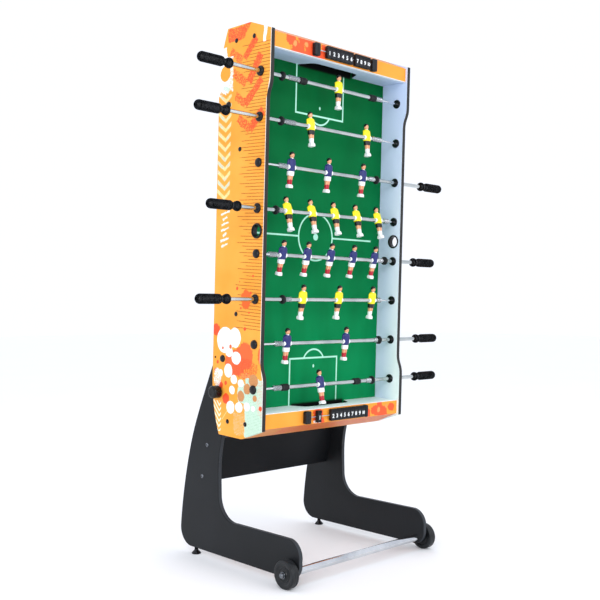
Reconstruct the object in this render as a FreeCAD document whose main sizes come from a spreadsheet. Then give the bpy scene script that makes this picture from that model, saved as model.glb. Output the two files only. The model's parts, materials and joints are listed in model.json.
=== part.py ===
import FreeCAD, Part
import math
import os

# A folding foosball table stored upright on its stand, in millimetres.
# World axes: +X to the right, +Y to the rear, +Z up, the floor at Z = 0.
# The cabinet is drawn in its own axes: X across, depth v forward from its underside (y = -v)
# and height w up from its lower end (z = w). One placement then leans it on its pivots.

os.makedirs("parts", exist_ok=True)
doc = FreeCAD.newDocument("foosball_table")
V = FreeCAD.Vector

# Driving dimensions
DIMENSIONS = [
    ("cabinet_length", 1218.0), ("cabinet_width", 610.0), ("wall_thick", 12.0),
    ("rim_depth", 237.5), ("rim_dip", 14.0), ("rim_step_from_end", 170.0), ("rim_step_run", 64.0),
    ("end_flat_depth", 142.0), ("end_slope_rise", 34.0), ("underside_taper", 37.0),
    ("taper_run", 175.0), ("trim_thick", 2.5),
    ("field_depth", 130.0), ("field_thick", 6.0), ("goal_wall_from_end", 82.3),
    ("strip_depth", 227.4), ("strip_from_end", 38.0), ("board_thick", 12.0),
    ("goal_half_base", 120.0), ("goal_half_top", 78.0), ("goal_shift", 18.0), ("goal_height", 48.0),
    ("goal_box_wall", 3.0),
    ("rod_depth", 193.4), ("rod_pitch", 131.0), ("tube_radius", 6.35), ("tube_bore", 3.57),
    ("core_radius", 3.5), ("bearing_bore", 6.42), ("bearing_sleeve", 9.0), ("bearing_flange", 14.3),
    ("fit_bore", 6.4), ("spring_radius", 8.8), ("bumper_radius", 13.5), ("bumper_thick", 7.0),
    ("collar_radius", 10.5), ("collar_length", 26.0), ("handle_length", 116.0), ("handle_radius", 14.5),
    ("cup_radius", 22.0), ("cup_bore", 17.0), ("cup_sleeve", 19.0),
    ("panel_thick", 15.0), ("panel_outer", 280.0), ("pivot_depth", 48.3), ("pivot_up", 230.0),
    ("pivot_radius", 6.0), ("pivot_bore", 6.05), ("leg_length", 626.0),
    ("wheel_radius", 40.0), ("wheel_width", 26.0), ("wheel_bore", 6.05), ("bar_radius", 11.0),
    ("spigot_radius", 6.0), ("foot_radius", 15.0), ("knob_radius", 19.0), ("knob_length", 26.0),
    ("bead_length", 17.0), ("long_bead", 18.9), ("bead_width", 36.0), ("bead_thick", 12.0), ("bead_bore", 1.9),
    ("wire_radius", 1.5), ("bracket_length", 22.0), ("lean_degrees", 2.1),
    ("cabinet_back", 91.5), ("cabinet_lift", 398.0),
]

dims = doc.addObject("Spreadsheet::Sheet", "dims")
for row, (alias, value) in enumerate(DIMENSIONS, start=1):
    dims.set("A%d" % row, alias.replace("_", " "))
    dims.set("B%d" % row, str(value))
    dims.setAlias("B%d" % row, alias)
doc.recompute()


def size(alias):
    return float(dims.get(alias))


def bind(thing, prop, value):
    """Bind a property to a sheet cell by alias or expression, or set a plain number."""
    if isinstance(value, str):
        words = value.replace("(", " ").replace(")", " ").split()
        named = ["dims." + word if word[0].isalpha() else word for word in words]
        thing.setExpression(prop, " ".join(named))
    else:
        setattr(thing, prop, value)


length = size("cabinet_length")
half_width = size("cabinet_width") / 2
wall = size("wall_thick")
inner_face = half_width - wall
lean = FreeCAD.Rotation(V(1, 0, 0), size("lean_degrees"))
cabinet_place = FreeCAD.Placement(V(0, size("cabinet_back"), size("cabinet_lift")), lean)
ground_place = FreeCAD.Placement()


def cab(x, depth, up):
    """World position of a point given in the cabinet's own axes."""
    return cabinet_place.multVec(V(x, -depth, up))


# Shape helpers: sketches and pads, rods and rings along X, boxes
nodes = {}
serial = [0]


def name(word):
    serial[0] += 1
    return "%s_%d" % (word, serial[0])


def keep(label, thing):
    thing.Label = label
    nodes[label] = thing
    return thing


def group(label, things):
    compound = doc.addObject("Part::Compound", name(label))
    compound.Links = things
    return keep(label, compound)


def draw_loop(sketch, start, steps):
    """A closed outline. Each step is a line to a point, an arc by way of one, or a smooth curve."""
    here = start
    for step in steps:
        if step[0] == "arc":
            middle, there = step[1], step[2]
            curve = Part.Arc(V(*here, 0), V(*middle, 0), V(*there, 0))
        elif step[0] == "curve":
            there = step[-1]
            curve = Part.BSplineCurve()
            curve.interpolate([V(*point, 0) for point in (here,) + tuple(step[1:])])
        else:
            there = step
            curve = Part.LineSegment(V(*here, 0), V(*there, 0))
        sketch.addGeometry(curve, False)
        here = there
    if (V(*here, 0) - V(*start, 0)).Length > 1e-6:
        sketch.addGeometry(Part.LineSegment(V(*here, 0), V(*start, 0)), False)


def new_sketch(body, plane, offset=0.0):
    sketch = body.newObject("Sketcher::SketchObject", name("outline"))
    for feature in body.Origin.OriginFeatures:
        if feature.Role == plane:
            sketch.AttachmentSupport = [(feature, "")]
    sketch.MapMode = "FlatFace"
    sketch.AttachmentOffset = FreeCAD.Placement(V(0, 0, offset), FreeCAD.Rotation())
    return sketch


def padded(word, plane, offset, thick, start, steps, place, holes=()):
    """A body padded from an outline, with round holes as (first, second, radius alias or number)."""
    body = doc.addObject("PartDesign::Body", name(word))
    sketch = new_sketch(body, plane, offset)
    draw_loop(sketch, start, steps)
    for first, second, radius in holes:
        circle = sketch.addGeometry(Part.Circle(V(first, second, 0), V(0, 0, 1), 1.0), False)
        constraint = sketch.addConstraint(radius_rule(circle, radius))
        if isinstance(radius, str):
            sketch.setExpression("Constraints[%d]" % constraint, "dims." + radius)
    pad = body.newObject("PartDesign::Pad", name("pad"))
    pad.Profile = sketch
    bind(pad, "Length", thick)
    body.Placement = place
    return body


def radius_rule(index, radius):
    import Sketcher
    value = size(radius) if isinstance(radius, str) else radius
    return Sketcher.Constraint("Radius", index, value)


def bar(word, x_start, x_end, y, z, radius):
    """A round bar along X."""
    cylinder = doc.addObject("Part::Cylinder", name(word))
    bind(cylinder, "Radius", radius)
    cylinder.Height = abs(x_end - x_start)
    cylinder.Placement = FreeCAD.Placement(V(min(x_start, x_end), y, z), FreeCAD.Rotation(V(0, 1, 0), 90))
    return cylinder


def cut(word, base, tool):
    result = doc.addObject("Part::Cut", name(word))
    result.Base = base
    result.Tool = tool
    return result


def fuse(word, things):
    result = doc.addObject("Part::MultiFuse", name(word))
    result.Shapes = things
    return result


def ring(word, x_start, x_end, y, z, radius, bore):
    """A round sleeve along X."""
    low, high = min(x_start, x_end), max(x_start, x_end)
    return cut(word, bar(word, low, high, y, z, radius), bar(word, low - 1, high + 1, y, z, bore))


def block(word, corner, sizes, place=ground_place):
    """A box from its lowest corner, in the axes of the given placement."""
    box = doc.addObject("Part::Box", name(word))
    for prop, value in zip(("Length", "Width", "Height"), sizes):
        bind(box, prop, value)
    box.Placement = place.multiply(FreeCAD.Placement(V(*corner), FreeCAD.Rotation()))
    return box


def turned(word, profile, y, z, x_base, outward):
    """A body of revolution about X: profile points are (distance along X, radius)."""
    body = doc.addObject("PartDesign::Body", name(word))
    sketch = new_sketch(body, "XZ_Plane")
    draw_loop(sketch, profile[0], profile[1:])
    spin = body.newObject("PartDesign::Revolution", name("spin"))
    spin.Profile = sketch
    spin.ReferenceAxis = (sketch, ["H_Axis"])
    spin.Angle = 360
    turn = FreeCAD.Rotation() if outward > 0 else FreeCAD.Rotation(V(0, 0, 1), 180)
    body.Placement = FreeCAD.Placement(V(x_base, y, z), turn)
    return body


def dome(x_base, radius, x_tip):
    """The last step of a turned profile: part of a sphere that meets the axis squarely."""
    high = abs(x_tip - x_base)
    sphere = (radius * radius + high * high) / (2 * high)
    half = math.asin(min(1.0, radius / sphere)) / 2
    sign = 1 if x_tip > x_base else -1
    centre = x_tip - sign * sphere
    return "arc", (centre + sign * sphere * math.cos(half), sphere * math.sin(half)), (x_tip, 0)


# Side walls
rod_heights = [length / 2 + (3.5 - index) * size("rod_pitch") for index in range(8)]
rod_depth = size("rod_depth")
screw_places = [(160, 46), (78, 44), (160, length - 44), (79, length - 43),
                (106.5, 366), (106.5, length - 366)]


def step_curve(from_end, to_end, high, low):
    """Two arcs that step the rim between its high ends and its lower middle."""
    run, drop = abs(to_end - from_end) / 2, (high - low) / 2
    radius = (run * run + drop * drop) / (2 * drop)
    half = math.asin(run / radius) / 2
    along = radius * math.sin(half)
    down = radius * (1 - math.cos(half))
    sign = 1 if to_end > from_end else -1
    middle = (-(high - drop), from_end + sign * run)
    return [("arc", (-(high - down), from_end + sign * along), middle),
            ("arc", (-(low + down), to_end - sign * along), (-low, to_end))]


def rim_path(top):
    """The front rim from the upper end to the lower end at a given depth."""
    low = top - size("rim_dip")
    first = size("rim_step_from_end")
    second = first + size("rim_step_run")
    start = (-top, length - first)
    upper = step_curve(length - first, length - second, top, low)
    lower = step_curve(first, second, top, low)
    # the lower step is walked backwards
    backwards = [("arc", lower[1][1], lower[0][2]), ("arc", lower[0][1], (-top, first))]
    return start, upper + [(-low, second)] + backwards


taper, taper_run = size("underside_taper"), size("taper_run")
taper_radius = (taper_run ** 2 + taper ** 2) / (2 * taper)
taper_half = math.asin(taper_run / taper_radius) / 2
taper_middle = (-taper_radius * (1 - math.cos(taper_half)), taper_run - taper_radius * math.sin(taper_half))
flat = size("end_flat_depth")
rise = size("end_slope_rise")
rim = size("rim_depth") - size("trim_thick")
rim_start, rim_steps = rim_path(rim)
wall_steps = [
    ("arc", taper_middle, (0, taper_run)),
    (0, length - taper_run),
    ("arc", (taper_middle[0], length - taper_middle[1]), (-taper, length)),
    (-flat, length), (-rim, length - rise), rim_start,
] + rim_steps + [(-rim, rise), (-flat, 0)]

pivot_depth, pivot_up = size("pivot_depth"), size("pivot_up")
leg_pivot_up = length - pivot_up
knob_depth, knob_up = 36.3, 129.0
wall_holes = [(-rod_depth, up, 9.05) for up in rod_heights]
wall_holes += [(-rod_depth, length / 2, 19.05), (-pivot_depth, pivot_up, "pivot_bore")]
wall_holes += [(-pivot_depth, leg_pivot_up, "pivot_bore"), (-knob_depth, knob_up, 4.05)]

for side, offset in (("left", -half_width), ("right", inner_face)):
    keep(side + "_side_wall", padded(side + "_side_wall", "YZ_Plane", offset, "wall_thick",
                                     (-taper, 0), wall_steps, cabinet_place, wall_holes))

# Black trim along both rims, wrapped a little way down each end slope
outer_start, outer_steps = rim_path(size("rim_depth"))


def trim_outline():
    """The rim's own line out and back, one trim thickness apart."""
    back = []
    points = [rim_start] + [step[-1] if step[0] == "arc" else step for step in rim_steps]
    for index in range(len(rim_steps) - 1, -1, -1):
        step, there = rim_steps[index], points[index]
        back.append(("arc", step[1], there) if step[0] == "arc" else there)
    top = size("rim_depth")
    return [outer_start] + outer_steps + [(-top, rise), (-rim, rise), points[-1]] + back + [(-rim, length - rise)]


group("edge_trims", [
    padded("trim", "YZ_Plane", offset, "wall_thick", (-size("rim_depth"), length - rise), trim_outline(),
           cabinet_place)
    for offset in (-half_width, inner_face)])

# Ends of the cabinet: a folded cover with the rim strip, and the goal wall inside it
span = 2 * inner_face - 0.2
strip = size("strip_depth")
from_end = size("strip_from_end")
goal_face = size("goal_wall_from_end")
board = size("board_thick")
cover_points = [(-taper, 0), (-flat, 0), (-strip, from_end), (-strip, goal_face),
                (board - strip, goal_face), (board - strip, from_end + 7.5), (2.5 - flat, board), (-taper, board)]
keep("lower_end_cover", padded("lower_end_cover", "YZ_Plane", -span / 2, span,
                               cover_points[0], cover_points[1:], cabinet_place))
upper_points = [(depth, length - up) for depth, up in cover_points]
keep("upper_end_cover", padded("upper_end_cover", "YZ_Plane", -span / 2, span,
                               upper_points[0], upper_points[1:], cabinet_place))

field = size("field_depth")
goal_base, goal_top, goal_high = size("goal_half_base"), size("goal_half_top"), size("goal_height")
goal_middle = size("goal_shift")
goal_left, goal_right = goal_middle - goal_top, goal_middle + goal_top
goal_outline = [(goal_middle - goal_base, -field), (goal_left - 22, -field - goal_high + 10),
                ("arc", (goal_left - 12, -field - goal_high + 2.5), (goal_left, -field - goal_high)),
                (goal_right, -field - goal_high),
                ("arc", (goal_right + 12, -field - goal_high + 2.5), (goal_right + 22, -field - goal_high + 10)),
                (goal_middle + goal_base, -field), (span / 2, -field), (span / 2, board - strip),
                (-span / 2, board - strip)]
group("goal_walls", [
    padded("goal_wall", "XY_Plane", up, "board_thick", (-span / 2, -field), goal_outline, cabinet_place)
    for up in (goal_face - board, length - goal_face)])

# Goal boxes that catch the ball behind each mouth
box_wall = size("goal_box_wall")
box_half = goal_base + 6
box_roof = field + goal_high + 6


def goal_box(up_low, up_high, open_up):
    inner_low = up_low - 1 if not open_up else up_low + box_wall
    inner_high = up_high + 1 if open_up else up_high - box_wall
    shell = block("goal_box", (goal_middle - box_half, -box_roof, up_low),
                  (2 * box_half, box_roof - field - 0.2, up_high - up_low), cabinet_place)
    room = block("goal_room", (goal_middle + box_wall - box_half, box_wall - box_roof, inner_low),
                 (2 * box_half - 2 * box_wall, box_roof - field, inner_high - inner_low), cabinet_place)
    return cut("goal_box", shell, room)


goal_back = goal_face - board - 0.2
group("goal_boxes", [goal_box(36.0, goal_back, True), goal_box(length - goal_back, length - 36.0, False)])

# Playfield board
keep("playfield", padded("playfield", "XZ_Plane", field - size("field_thick"), "field_thick",
                         (-span / 2, board + 0.2),
                         [(span / 2, board + 0.2), (span / 2, length - board - 0.2),
                          (-span / 2, length - board - 0.2)], cabinet_place))

# Rods from top to bottom: (side of the handle, handle tip, bumper, tube's far end, men, tilt of
# the feet about +X in degrees, stop collars, springs as (start, end) along X)
RODS = [
    (-1, -529, -223, 216, (14,), 0, ((-154, -128), (157, 183)), ((-201, -154), (183, 214))),
    (-1, -536, -223, 218, (-102, 149), -6, (), ((-210, -166), (172, 216))),
    (1, 536, 199, -232, (-179, -23, 133), 6, (), ((-231, -195), (159, 187))),
    (-1, -488, -236, 265, (-187, -87, 13, 113, 213), -15, (), ((-226, -204), (240, 264))),
    (1, 506, 250, -262, (-206, -105, -4, 97, 198), 13.5, (), ((-261, -227), (214, 238))),
    (-1, -518, -200, 238, (-119, 37, 193), 9, (), ((-192, -166), (214, 237))),
    (1, 531, 232, -230, (-179, 74), 6.5, (), ((-229, -198), (206, 224))),
    (1, 530, 203, -231, (-33,), -11, ((-197, -171), (116, 142)), ((-230, -197), (173, 197))),
]
bearings = []


def bearing(side, place, through):
    """A flanged bush in the wall. The far side's is closed by a dome."""
    flange, sleeve = size("bearing_flange"), size("bearing_sleeve")
    bore = size("bearing_bore") if through else size("tube_bore")
    inside = inner_face - 4
    if through:
        profile = [(inside, bore), (inside, flange - 1.5), (inside + 1.5, flange), (inner_face, flange),
                   (inner_face, sleeve), (half_width, sleeve), (half_width, flange),
                   (half_width + 3.5, flange), (half_width + 6, flange - 2.5), (half_width + 6, bore)]
    else:
        profile = [(inside, bore), (inside, flange - 1.5), (inside + 1.5, flange), (inner_face, flange),
                   (inner_face, sleeve), (half_width, sleeve), (half_width, flange - 1),
                   (half_width + 2, flange - 1), dome(half_width + 2, flange - 1, half_width + 9),
                   (half_width - 1, 0),
                   (half_width - 1, bore)]
    return turned("bearing", profile, place.y, place.z, 0, side)


# Handle, from the flared collar at the rod to the rounded tip
def handle_profile():
    long, radius, bore = size("handle_length"), size("handle_radius"), size("fit_bore")
    return [(0, bore), (0, 9.5), ("arc", (4, 14.2), (9, 15)), ("arc", (16, 13.5), (22, 9.8)),
            (28, 9.8), ("arc", (31, 12.8), (36, radius)), (long - 14, radius),
            dome(long - 14, radius, long), (long - 10, 0), (long - 10, bore)]


def player(x, place, tilt):
    """One player on its rod, feet down before the tilt: head, neck, trunk, hips, legs and foot block."""
    turn = FreeCAD.Placement(V(x, place.y, place.z), FreeCAD.Rotation(V(1, 0, 0), tilt))
    head = doc.addObject("Part::Sphere", name("head"))
    head.Radius = 9
    head.Placement = turn.multiply(FreeCAD.Placement(V(0, 0, 36.5), FreeCAD.Rotation()))
    parts = [head,
             block("neck", (-4.5, -4.5, 24), (9, 9, 8), turn),
             block("trunk", (-13, -8.5, -10), (26, 17, 36), turn),
             block("hips", (-11, -8, -22), (22, 16, 13), turn),
             block("legs", (-8, -6.5, -50), (16, 13, 29), turn),
             block("boots", (-9, -10, -61), (18, 20, 13), turn),
             bar("sleeves", x - 15, x + 15, place.y, place.z, 9.5)]
    return cut("player", fuse("player", parts), bar("bore", x - 20, x + 20, place.y, place.z, "fit_bore"))


for number, (side, tip, bumper, far_end, men, tilt, collars, springs) in enumerate(RODS, start=1):
    place = cab(0, rod_depth, rod_heights[number - 1])
    y, z = place.y, place.z
    label = "rod_%d" % number
    bearings.append(bearing(side, place, True))
    bearings.append(bearing(-side, place, False))
    far_wall = -side * (half_width - 1.5)
    core_end = side * 190
    keep(label + "_core", bar(label + "_core", core_end, far_wall, y, z, "core_radius"))
    tube = ring("tube", tip - side * 11, far_end, y, z, "tube_radius", "tube_bore")
    half_bumper = size("bumper_thick") / 2
    extras = [ring("bumper", bumper - half_bumper, bumper + half_bumper, y, z, "bumper_radius", "fit_bore")]
    extras += [ring("collar", start, end, y, z, "collar_radius", "fit_bore") for start, end in collars]
    extras += [ring("spring", start + 0.4, end - 0.4, y, z, "spring_radius", "fit_bore") for start, end in springs]
    group(label + "_tube", [tube] + extras)
    group(label + "_players", [player(x, place, tilt + size("lean_degrees")) for x in men])
    keep(label + "_handle", turned("handle", handle_profile(), y, z, tip - side * size("handle_length"), side))

group("rod_bearings", bearings)

# Ball entry cups in both walls
cup_place = cab(0, rod_depth, length / 2)
cups = []
for side in (-1, 1):
    flange, sleeve, bore = size("cup_radius"), size("cup_sleeve"), size("cup_bore")
    profile = [(inner_face - 3, bore + 1), (inner_face - 3, flange - 1), (inner_face - 2, flange),
               (inner_face, flange), (inner_face, sleeve), (half_width, sleeve), (half_width, flange),
               (half_width + 3, flange), (half_width + 5, flange - 3), (half_width + 5, bore + 1),
               (half_width + 2, bore), (inner_face, bore)]
    cups.append(turned("ball_cup", profile, cup_place.y, cup_place.z, 0, side))
group("ball_cups", cups)

# Bolts held by the cabinet: four leg pivots with spacer and nut, and the small wall screws
panel_outer = size("panel_outer")
panel_inner = panel_outer - size("panel_thick")
bolt_solids = []
for side in (-1, 1):
    for up in (pivot_up, leg_pivot_up):
        spot = cab(0, pivot_depth, up)
        shank = size("pivot_radius")
        profile = [(panel_inner - 7, 0), (panel_inner - 7, 10), (panel_inner - 1, 10), (panel_inner - 1, shank),
                   (panel_outer + 0.6, shank), (panel_outer + 0.6, 13), (inner_face - 0.2, 13),
                   (inner_face - 0.2, shank), (half_width, shank), (half_width, 11),
                   dome(half_width, 11, half_width + 6.5)]
        bolt_solids.append(turned("pivot_bolt", profile, spot.y, spot.z, 0, side))
    for depth, up in screw_places + [(12.7, 232)]:
        spot = cab(0, depth, up)
        head = 3.2 if up == 232 else 7.0
        profile = [(half_width, 0), (half_width, head), dome(half_width, head, half_width + 3)]
        bolt_solids.append(turned("wall_screw", profile, spot.y, spot.z, 0, side))
group("cabinet_bolts", bolt_solids)

# Lock knobs: a knurled head on a screw that presses the stand's arm through the wall
for side, word in ((-1, "left"), (1, "right")):
    spot = cab(0, knob_depth, knob_up)
    radius = size("knob_radius")
    long = size("knob_length")
    base = half_width + 5
    profile = [(panel_outer + 0.5, 0), (panel_outer + 0.5, 4), (half_width + 0.4, 4), (half_width + 0.4, 11),
               (base, 11), (base, radius), (base + long - 5, radius), (base + long, radius - 5), (base + long, 0)]
    keep(word + "_lock_knob", turned(word + "_lock_knob", profile, spot.y, spot.z, 0, side))

# Score counters: two brackets and a wire on each rim strip, with beads that slide on the wire
wire_depth = strip + 8.5
bracket_half = 115.0
bracket_solids = []
for up, right_bracket in ((60.0, 124.0), (length - 60.0, bracket_half)):
    right_long = bracket_half + size("bracket_length") - right_bracket
    for low, long in ((-bracket_half - size("bracket_length"), "bracket_length"), (right_bracket, right_long)):
        bracket_solids.append(block("bracket", (low, -strip - 16.5, up - 19), (long, 16.5, 38), cabinet_place))
    spot = cab(0, wire_depth, up)
    bracket_solids.append(bar("wire", -bracket_half, right_bracket, spot.y, spot.z, "wire_radius"))
group("score_brackets", bracket_solids)


def beads(label, start, count, up, pitch="bead_length"):
    spot = cab(0, wire_depth, up)
    pieces = []
    for index in range(count):
        low = start + index * size(pitch) + 0.3
        body = block("bead", (low, -strip - 14.6, up - size("bead_width") / 2),
                     (pitch + " - 0.6", "bead_thick", "bead_width"), cabinet_place)
        pieces.append(cut("bead", body, bar("bead_hole", low - 1, low + 20, spot.y, spot.z, "bead_bore")))
    group(label, pieces)


beads("upper_beads_left", -86.0, 6, length - 60.0, "long_bead")
beads("upper_beads_right", 37.0, 4, length - 60.0)
beads("lower_bead_left", -88.0, 1, 60.0)
beads("lower_beads_right", -30.0, 9, 60.0)

# Stand panels: an upright arm that reaches up to the pivot, and a long foot forward
pivot = cab(0, pivot_depth, pivot_up)
arm_round = 46.0
near, top = pivot.y - arm_round, pivot.z + arm_round
corner = arm_round * math.sqrt(0.5)
panel_steps = [
    ("arc", (pivot.y - corner, pivot.z + corner), (pivot.y, top)),
    ("curve", (92, 641), (122.5, 592), (172.5, 489), (216, 390), (244, 301), (265, 211), (280, 120), (284.5, 80)),
    ("arc", (272, 40), (234, 20)),
    (-240, 20),
    ("arc", (-265, 37), (-273, 72)),
    ("arc", (-264, 112), (-230, 131)),
    (6, 130),
    ("arc", (64, 149), (88, 206)),
    ("curve", (89, 254), (86, 320), (72, 385), (62, 415), (30, 462), (4, 520), (-8, 575), (near, pivot.z)),
]
axle = (-244.5, 40.0)
foot_y = 210.0
stand_holes = [(pivot.y, pivot.z, "pivot_bore"), (axle[0], axle[1], 6.05)]
for word, offset in (("left", -panel_outer), ("right", panel_inner)):
    body = padded("stand_%s_panel" % word, "YZ_Plane", offset, "panel_thick", (near, pivot.z), panel_steps,
                  ground_place, stand_holes)
    keep("stand_%s_panel" % word, body)

# Cross board between the stand panels, tilted like the arms
board_angle = 14.0
board_turn = FreeCAD.Rotation(V(1, 0, 0), board_angle)
board_place = FreeCAD.Placement(V(0, 174, 233), board_turn)
keep("stand_cross_board", block("stand_cross_board", (-panel_inner + 0.1, -7.5, 0), (2 * panel_inner - 0.2, 15, 142),
                                board_place))

stand_bolts = []
for side in (-1, 1):
    for along in (18.5, 122):
        spot = board_place.multVec(V(0, 0, along))
        profile = [(panel_outer, 0), (panel_outer, 6.5), dome(panel_outer, 6.5, panel_outer + 3.2)]
        stand_bolts.append(turned("board_bolt", profile, spot.y, spot.z, 0, side))
    cap = panel_outer + 7 + size("wheel_width") + 1
    profile = [(cap, 0), (cap, 10), (cap + 4, 10), dome(cap + 4, 10, cap + 9)]
    stand_bolts.append(turned("hub_bolt", profile, axle[0], axle[1], 0, side))
group("stand_bolts", stand_bolts)

# Chrome axle bar with a spigot through each panel for the wheel
spigot_end = panel_outer + 7 + size("wheel_width") + 1
keep("axle_bar", fuse("axle_bar", [bar("axle", -panel_inner + 0.1, panel_inner - 0.1, *axle, "bar_radius"),
                                   bar("spigot", -spigot_end, spigot_end, *axle, "spigot_radius")]))

for side, word in ((-1, "left"), (1, "right")):
    low = panel_outer + 7
    radius, bore = size("wheel_radius"), size("wheel_bore")
    wide = size("wheel_width")
    profile = [(low - 4, bore), (low - 4, 13), (low + 3, 13), (low + 3, 27), (low, 30), (low, radius - 4),
               ("arc", (low + 1.2, radius - 1.2), (low + 4, radius)), (low + wide - 4, radius),
               ("arc", (low + wide - 1.2, radius - 1.2), (low + wide, radius - 4)), (low + wide, 30),
               (low + wide - 3, 27), (low + wide - 3, 15), (low + wide, 13), (low + wide, bore)]
    keep(word + "_wheel", turned(word + "_wheel", profile, axle[0], axle[1], 0, side))

# Levelling feet under the heels
feet = []
for side in (-1, 1):
    body = doc.addObject("PartDesign::Body", name("levelling_foot"))
    sketch = new_sketch(body, "XZ_Plane")
    wide = size("foot_radius")
    draw_loop(sketch, (0, 0), [(wide, 0), (wide, 3), ("arc", (wide - 4, 9), (6, 13.5)), (6, 19.8), (0, 19.8)])
    spin = body.newObject("PartDesign::Revolution", name("spin"))
    spin.Profile = sketch
    spin.ReferenceAxis = (sketch, ["V_Axis"])
    spin.Angle = 360
    body.Placement = FreeCAD.Placement(V(side * (panel_outer - 7.5), foot_y, 0), FreeCAD.Rotation())
    feet.append(body)
group("levelling_feet", feet)

# Second leg frame, folded flat inside the underside
leg = size("leg_length")
leg_end = leg_pivot_up - leg
leg_steps = [("arc", (-pivot_depth - 36, leg_pivot_up), (-pivot_depth, leg_pivot_up + 36)),
             ("arc", (-pivot_depth + 36, leg_pivot_up), (-pivot_depth + 34, leg_pivot_up - 60)),
             (-pivot_depth + 26, leg_end), (-pivot_depth - 26, leg_end)]
group("leg_panels", [
    padded("leg_panel", "YZ_Plane", offset, "panel_thick", (-pivot_depth - 34, leg_pivot_up - 60), leg_steps,
           cabinet_place, [(-pivot_depth, leg_pivot_up, "pivot_bore")])
    for offset in (-panel_outer, panel_inner)])
keep("leg_cross_board", block("leg_cross_board", (-panel_inner + 0.1, -pivot_depth - 7.5, leg_end + 90),
                              (2 * panel_inner - 0.2, 15, 150), cabinet_place))

# Recompute, check and write one file per named sub-part
doc.recompute()
for thing in doc.Objects:
    if "Invalid" in thing.State or "Error" in thing.State:
        raise SystemExit("not built: %s %s" % (thing.Label, thing.State))
for label, thing in nodes.items():
    shape = thing.Shape
    if shape.isNull() or not shape.isValid() or not shape.Solids:
        raise SystemExit("bad shape: " + label)
    shape.exportStep("parts/%s.step" % label)
print(len(nodes), "nodes written")
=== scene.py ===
import json
import math

import bpy
from mathutils import Matrix, Vector

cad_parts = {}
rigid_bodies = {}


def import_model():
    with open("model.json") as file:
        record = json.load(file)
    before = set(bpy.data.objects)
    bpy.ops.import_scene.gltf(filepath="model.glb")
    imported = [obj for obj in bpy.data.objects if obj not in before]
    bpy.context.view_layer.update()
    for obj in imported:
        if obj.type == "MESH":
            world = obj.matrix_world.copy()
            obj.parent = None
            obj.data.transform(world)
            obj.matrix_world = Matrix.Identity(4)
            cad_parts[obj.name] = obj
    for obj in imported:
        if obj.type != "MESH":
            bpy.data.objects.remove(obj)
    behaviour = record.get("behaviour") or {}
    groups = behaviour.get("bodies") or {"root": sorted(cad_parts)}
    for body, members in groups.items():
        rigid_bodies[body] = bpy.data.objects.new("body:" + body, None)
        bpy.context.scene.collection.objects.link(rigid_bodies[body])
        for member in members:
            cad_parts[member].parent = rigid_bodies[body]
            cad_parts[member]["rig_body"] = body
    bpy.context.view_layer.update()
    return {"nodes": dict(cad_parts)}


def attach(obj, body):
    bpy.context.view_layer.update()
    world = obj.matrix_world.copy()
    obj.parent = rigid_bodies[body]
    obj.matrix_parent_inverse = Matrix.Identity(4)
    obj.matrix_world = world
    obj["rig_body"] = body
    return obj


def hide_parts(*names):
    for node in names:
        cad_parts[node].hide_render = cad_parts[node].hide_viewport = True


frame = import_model()
bpy.ops.object.select_all(action="DESELECT")


# ---------------------------------------------------------------- the studio
# A plain pale floor under a cool white sky, with three large soft lamps and one
# small one, as for a catalogue picture. The camera stands low, to the table's left.

bpy.ops.object.camera_add(location=(-1.9239, -2.0258, 0.7781),
                          rotation=(math.radians(90.52), 0, math.radians(-43.24)))
camera = bpy.context.object
camera.data.lens = 52.07
camera.data.sensor_width = 36
bpy.context.scene.camera = camera


class Shade:
    """A value on its way through a finish's nodes. Arithmetic on it adds Math nodes."""

    def __init__(self, finish, socket):
        self.finish = finish
        self.socket = socket

    def math(self, operation, *others):
        return self.finish.node("ShaderNodeMath", {"operation": operation}, dict(enumerate((self, *others))))

    def __add__(self, other):
        return self.math("ADD", other)

    def __sub__(self, other):
        return self.math("SUBTRACT", other)

    def __rsub__(self, other):
        return self.math("MULTIPLY", -1) + other

    def __mul__(self, other):
        return self.math("MULTIPLY", other)

    def __truediv__(self, other):
        return self.math("DIVIDE", other)

    def __abs__(self):
        return self.math("ABSOLUTE")

    __radd__ = __add__
    __rmul__ = __mul__

    def larger(self, other):
        return self.math("MAXIMUM", other)

    def ramp(self, low, high, start=0.0, end=1.0):
        """Runs from start to end while the value goes from low to high, and stays there."""
        return self.finish.node("ShaderNodeMapRange", {"clamp": True},
                                {0: self, 1: low, 2: high, 3: start, 4: end})


class Finish:
    """A material under construction, with the few nodes that every finish here uses."""

    def __init__(self, name, **constants):
        self.material = bpy.data.materials.new(name)
        self.material.use_nodes = True
        self.tree = self.material.node_tree
        self.shader = self.tree.nodes["Principled BSDF"]
        for word, value in constants.items():
            self.shader.inputs[word.replace("_", " ")].default_value = value
        self.place = self.node("ShaderNodeTexCoord", output="Object")

    def node(self, kind, settings=None, inputs=None, output=0):
        made = self.tree.nodes.new(kind)
        for key, value in (settings or {}).items():
            setattr(made, key, value)
        for key, value in (inputs or {}).items():
            if isinstance(value, Shade):
                self.tree.links.new(value.socket, made.inputs[key])
            else:
                made.inputs[key].default_value = value
        return Shade(self, made.outputs[output])

    def mix(self, mask, under, over):
        return self.node("ShaderNodeMix", {"data_type": "RGBA"}, {0: mask, 6: under, 7: over}, 2)

    def noise(self, scale, detail=2.0, stretch=None, roughness=0.5):
        """Cloudy noise, its scale in spots per metre, drawn out along an axis by stretch."""
        place = self.place
        if stretch:
            place = self.node("ShaderNodeVectorMath", {"operation": "MULTIPLY"}, {0: place, 1: stretch})
        return self.node("ShaderNodeTexNoise", None, {"Vector": place, "Scale": scale, "Detail": detail,
                                                      "Roughness": roughness})

    def bump(self, height, distance):
        return self.node("ShaderNodeBump", None, {"Height": height, "Distance": distance})

    def feed(self, **values):
        for word, value in values.items():
            self.tree.links.new(value.socket, self.shader.inputs[word.replace("_", " ")])


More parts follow.
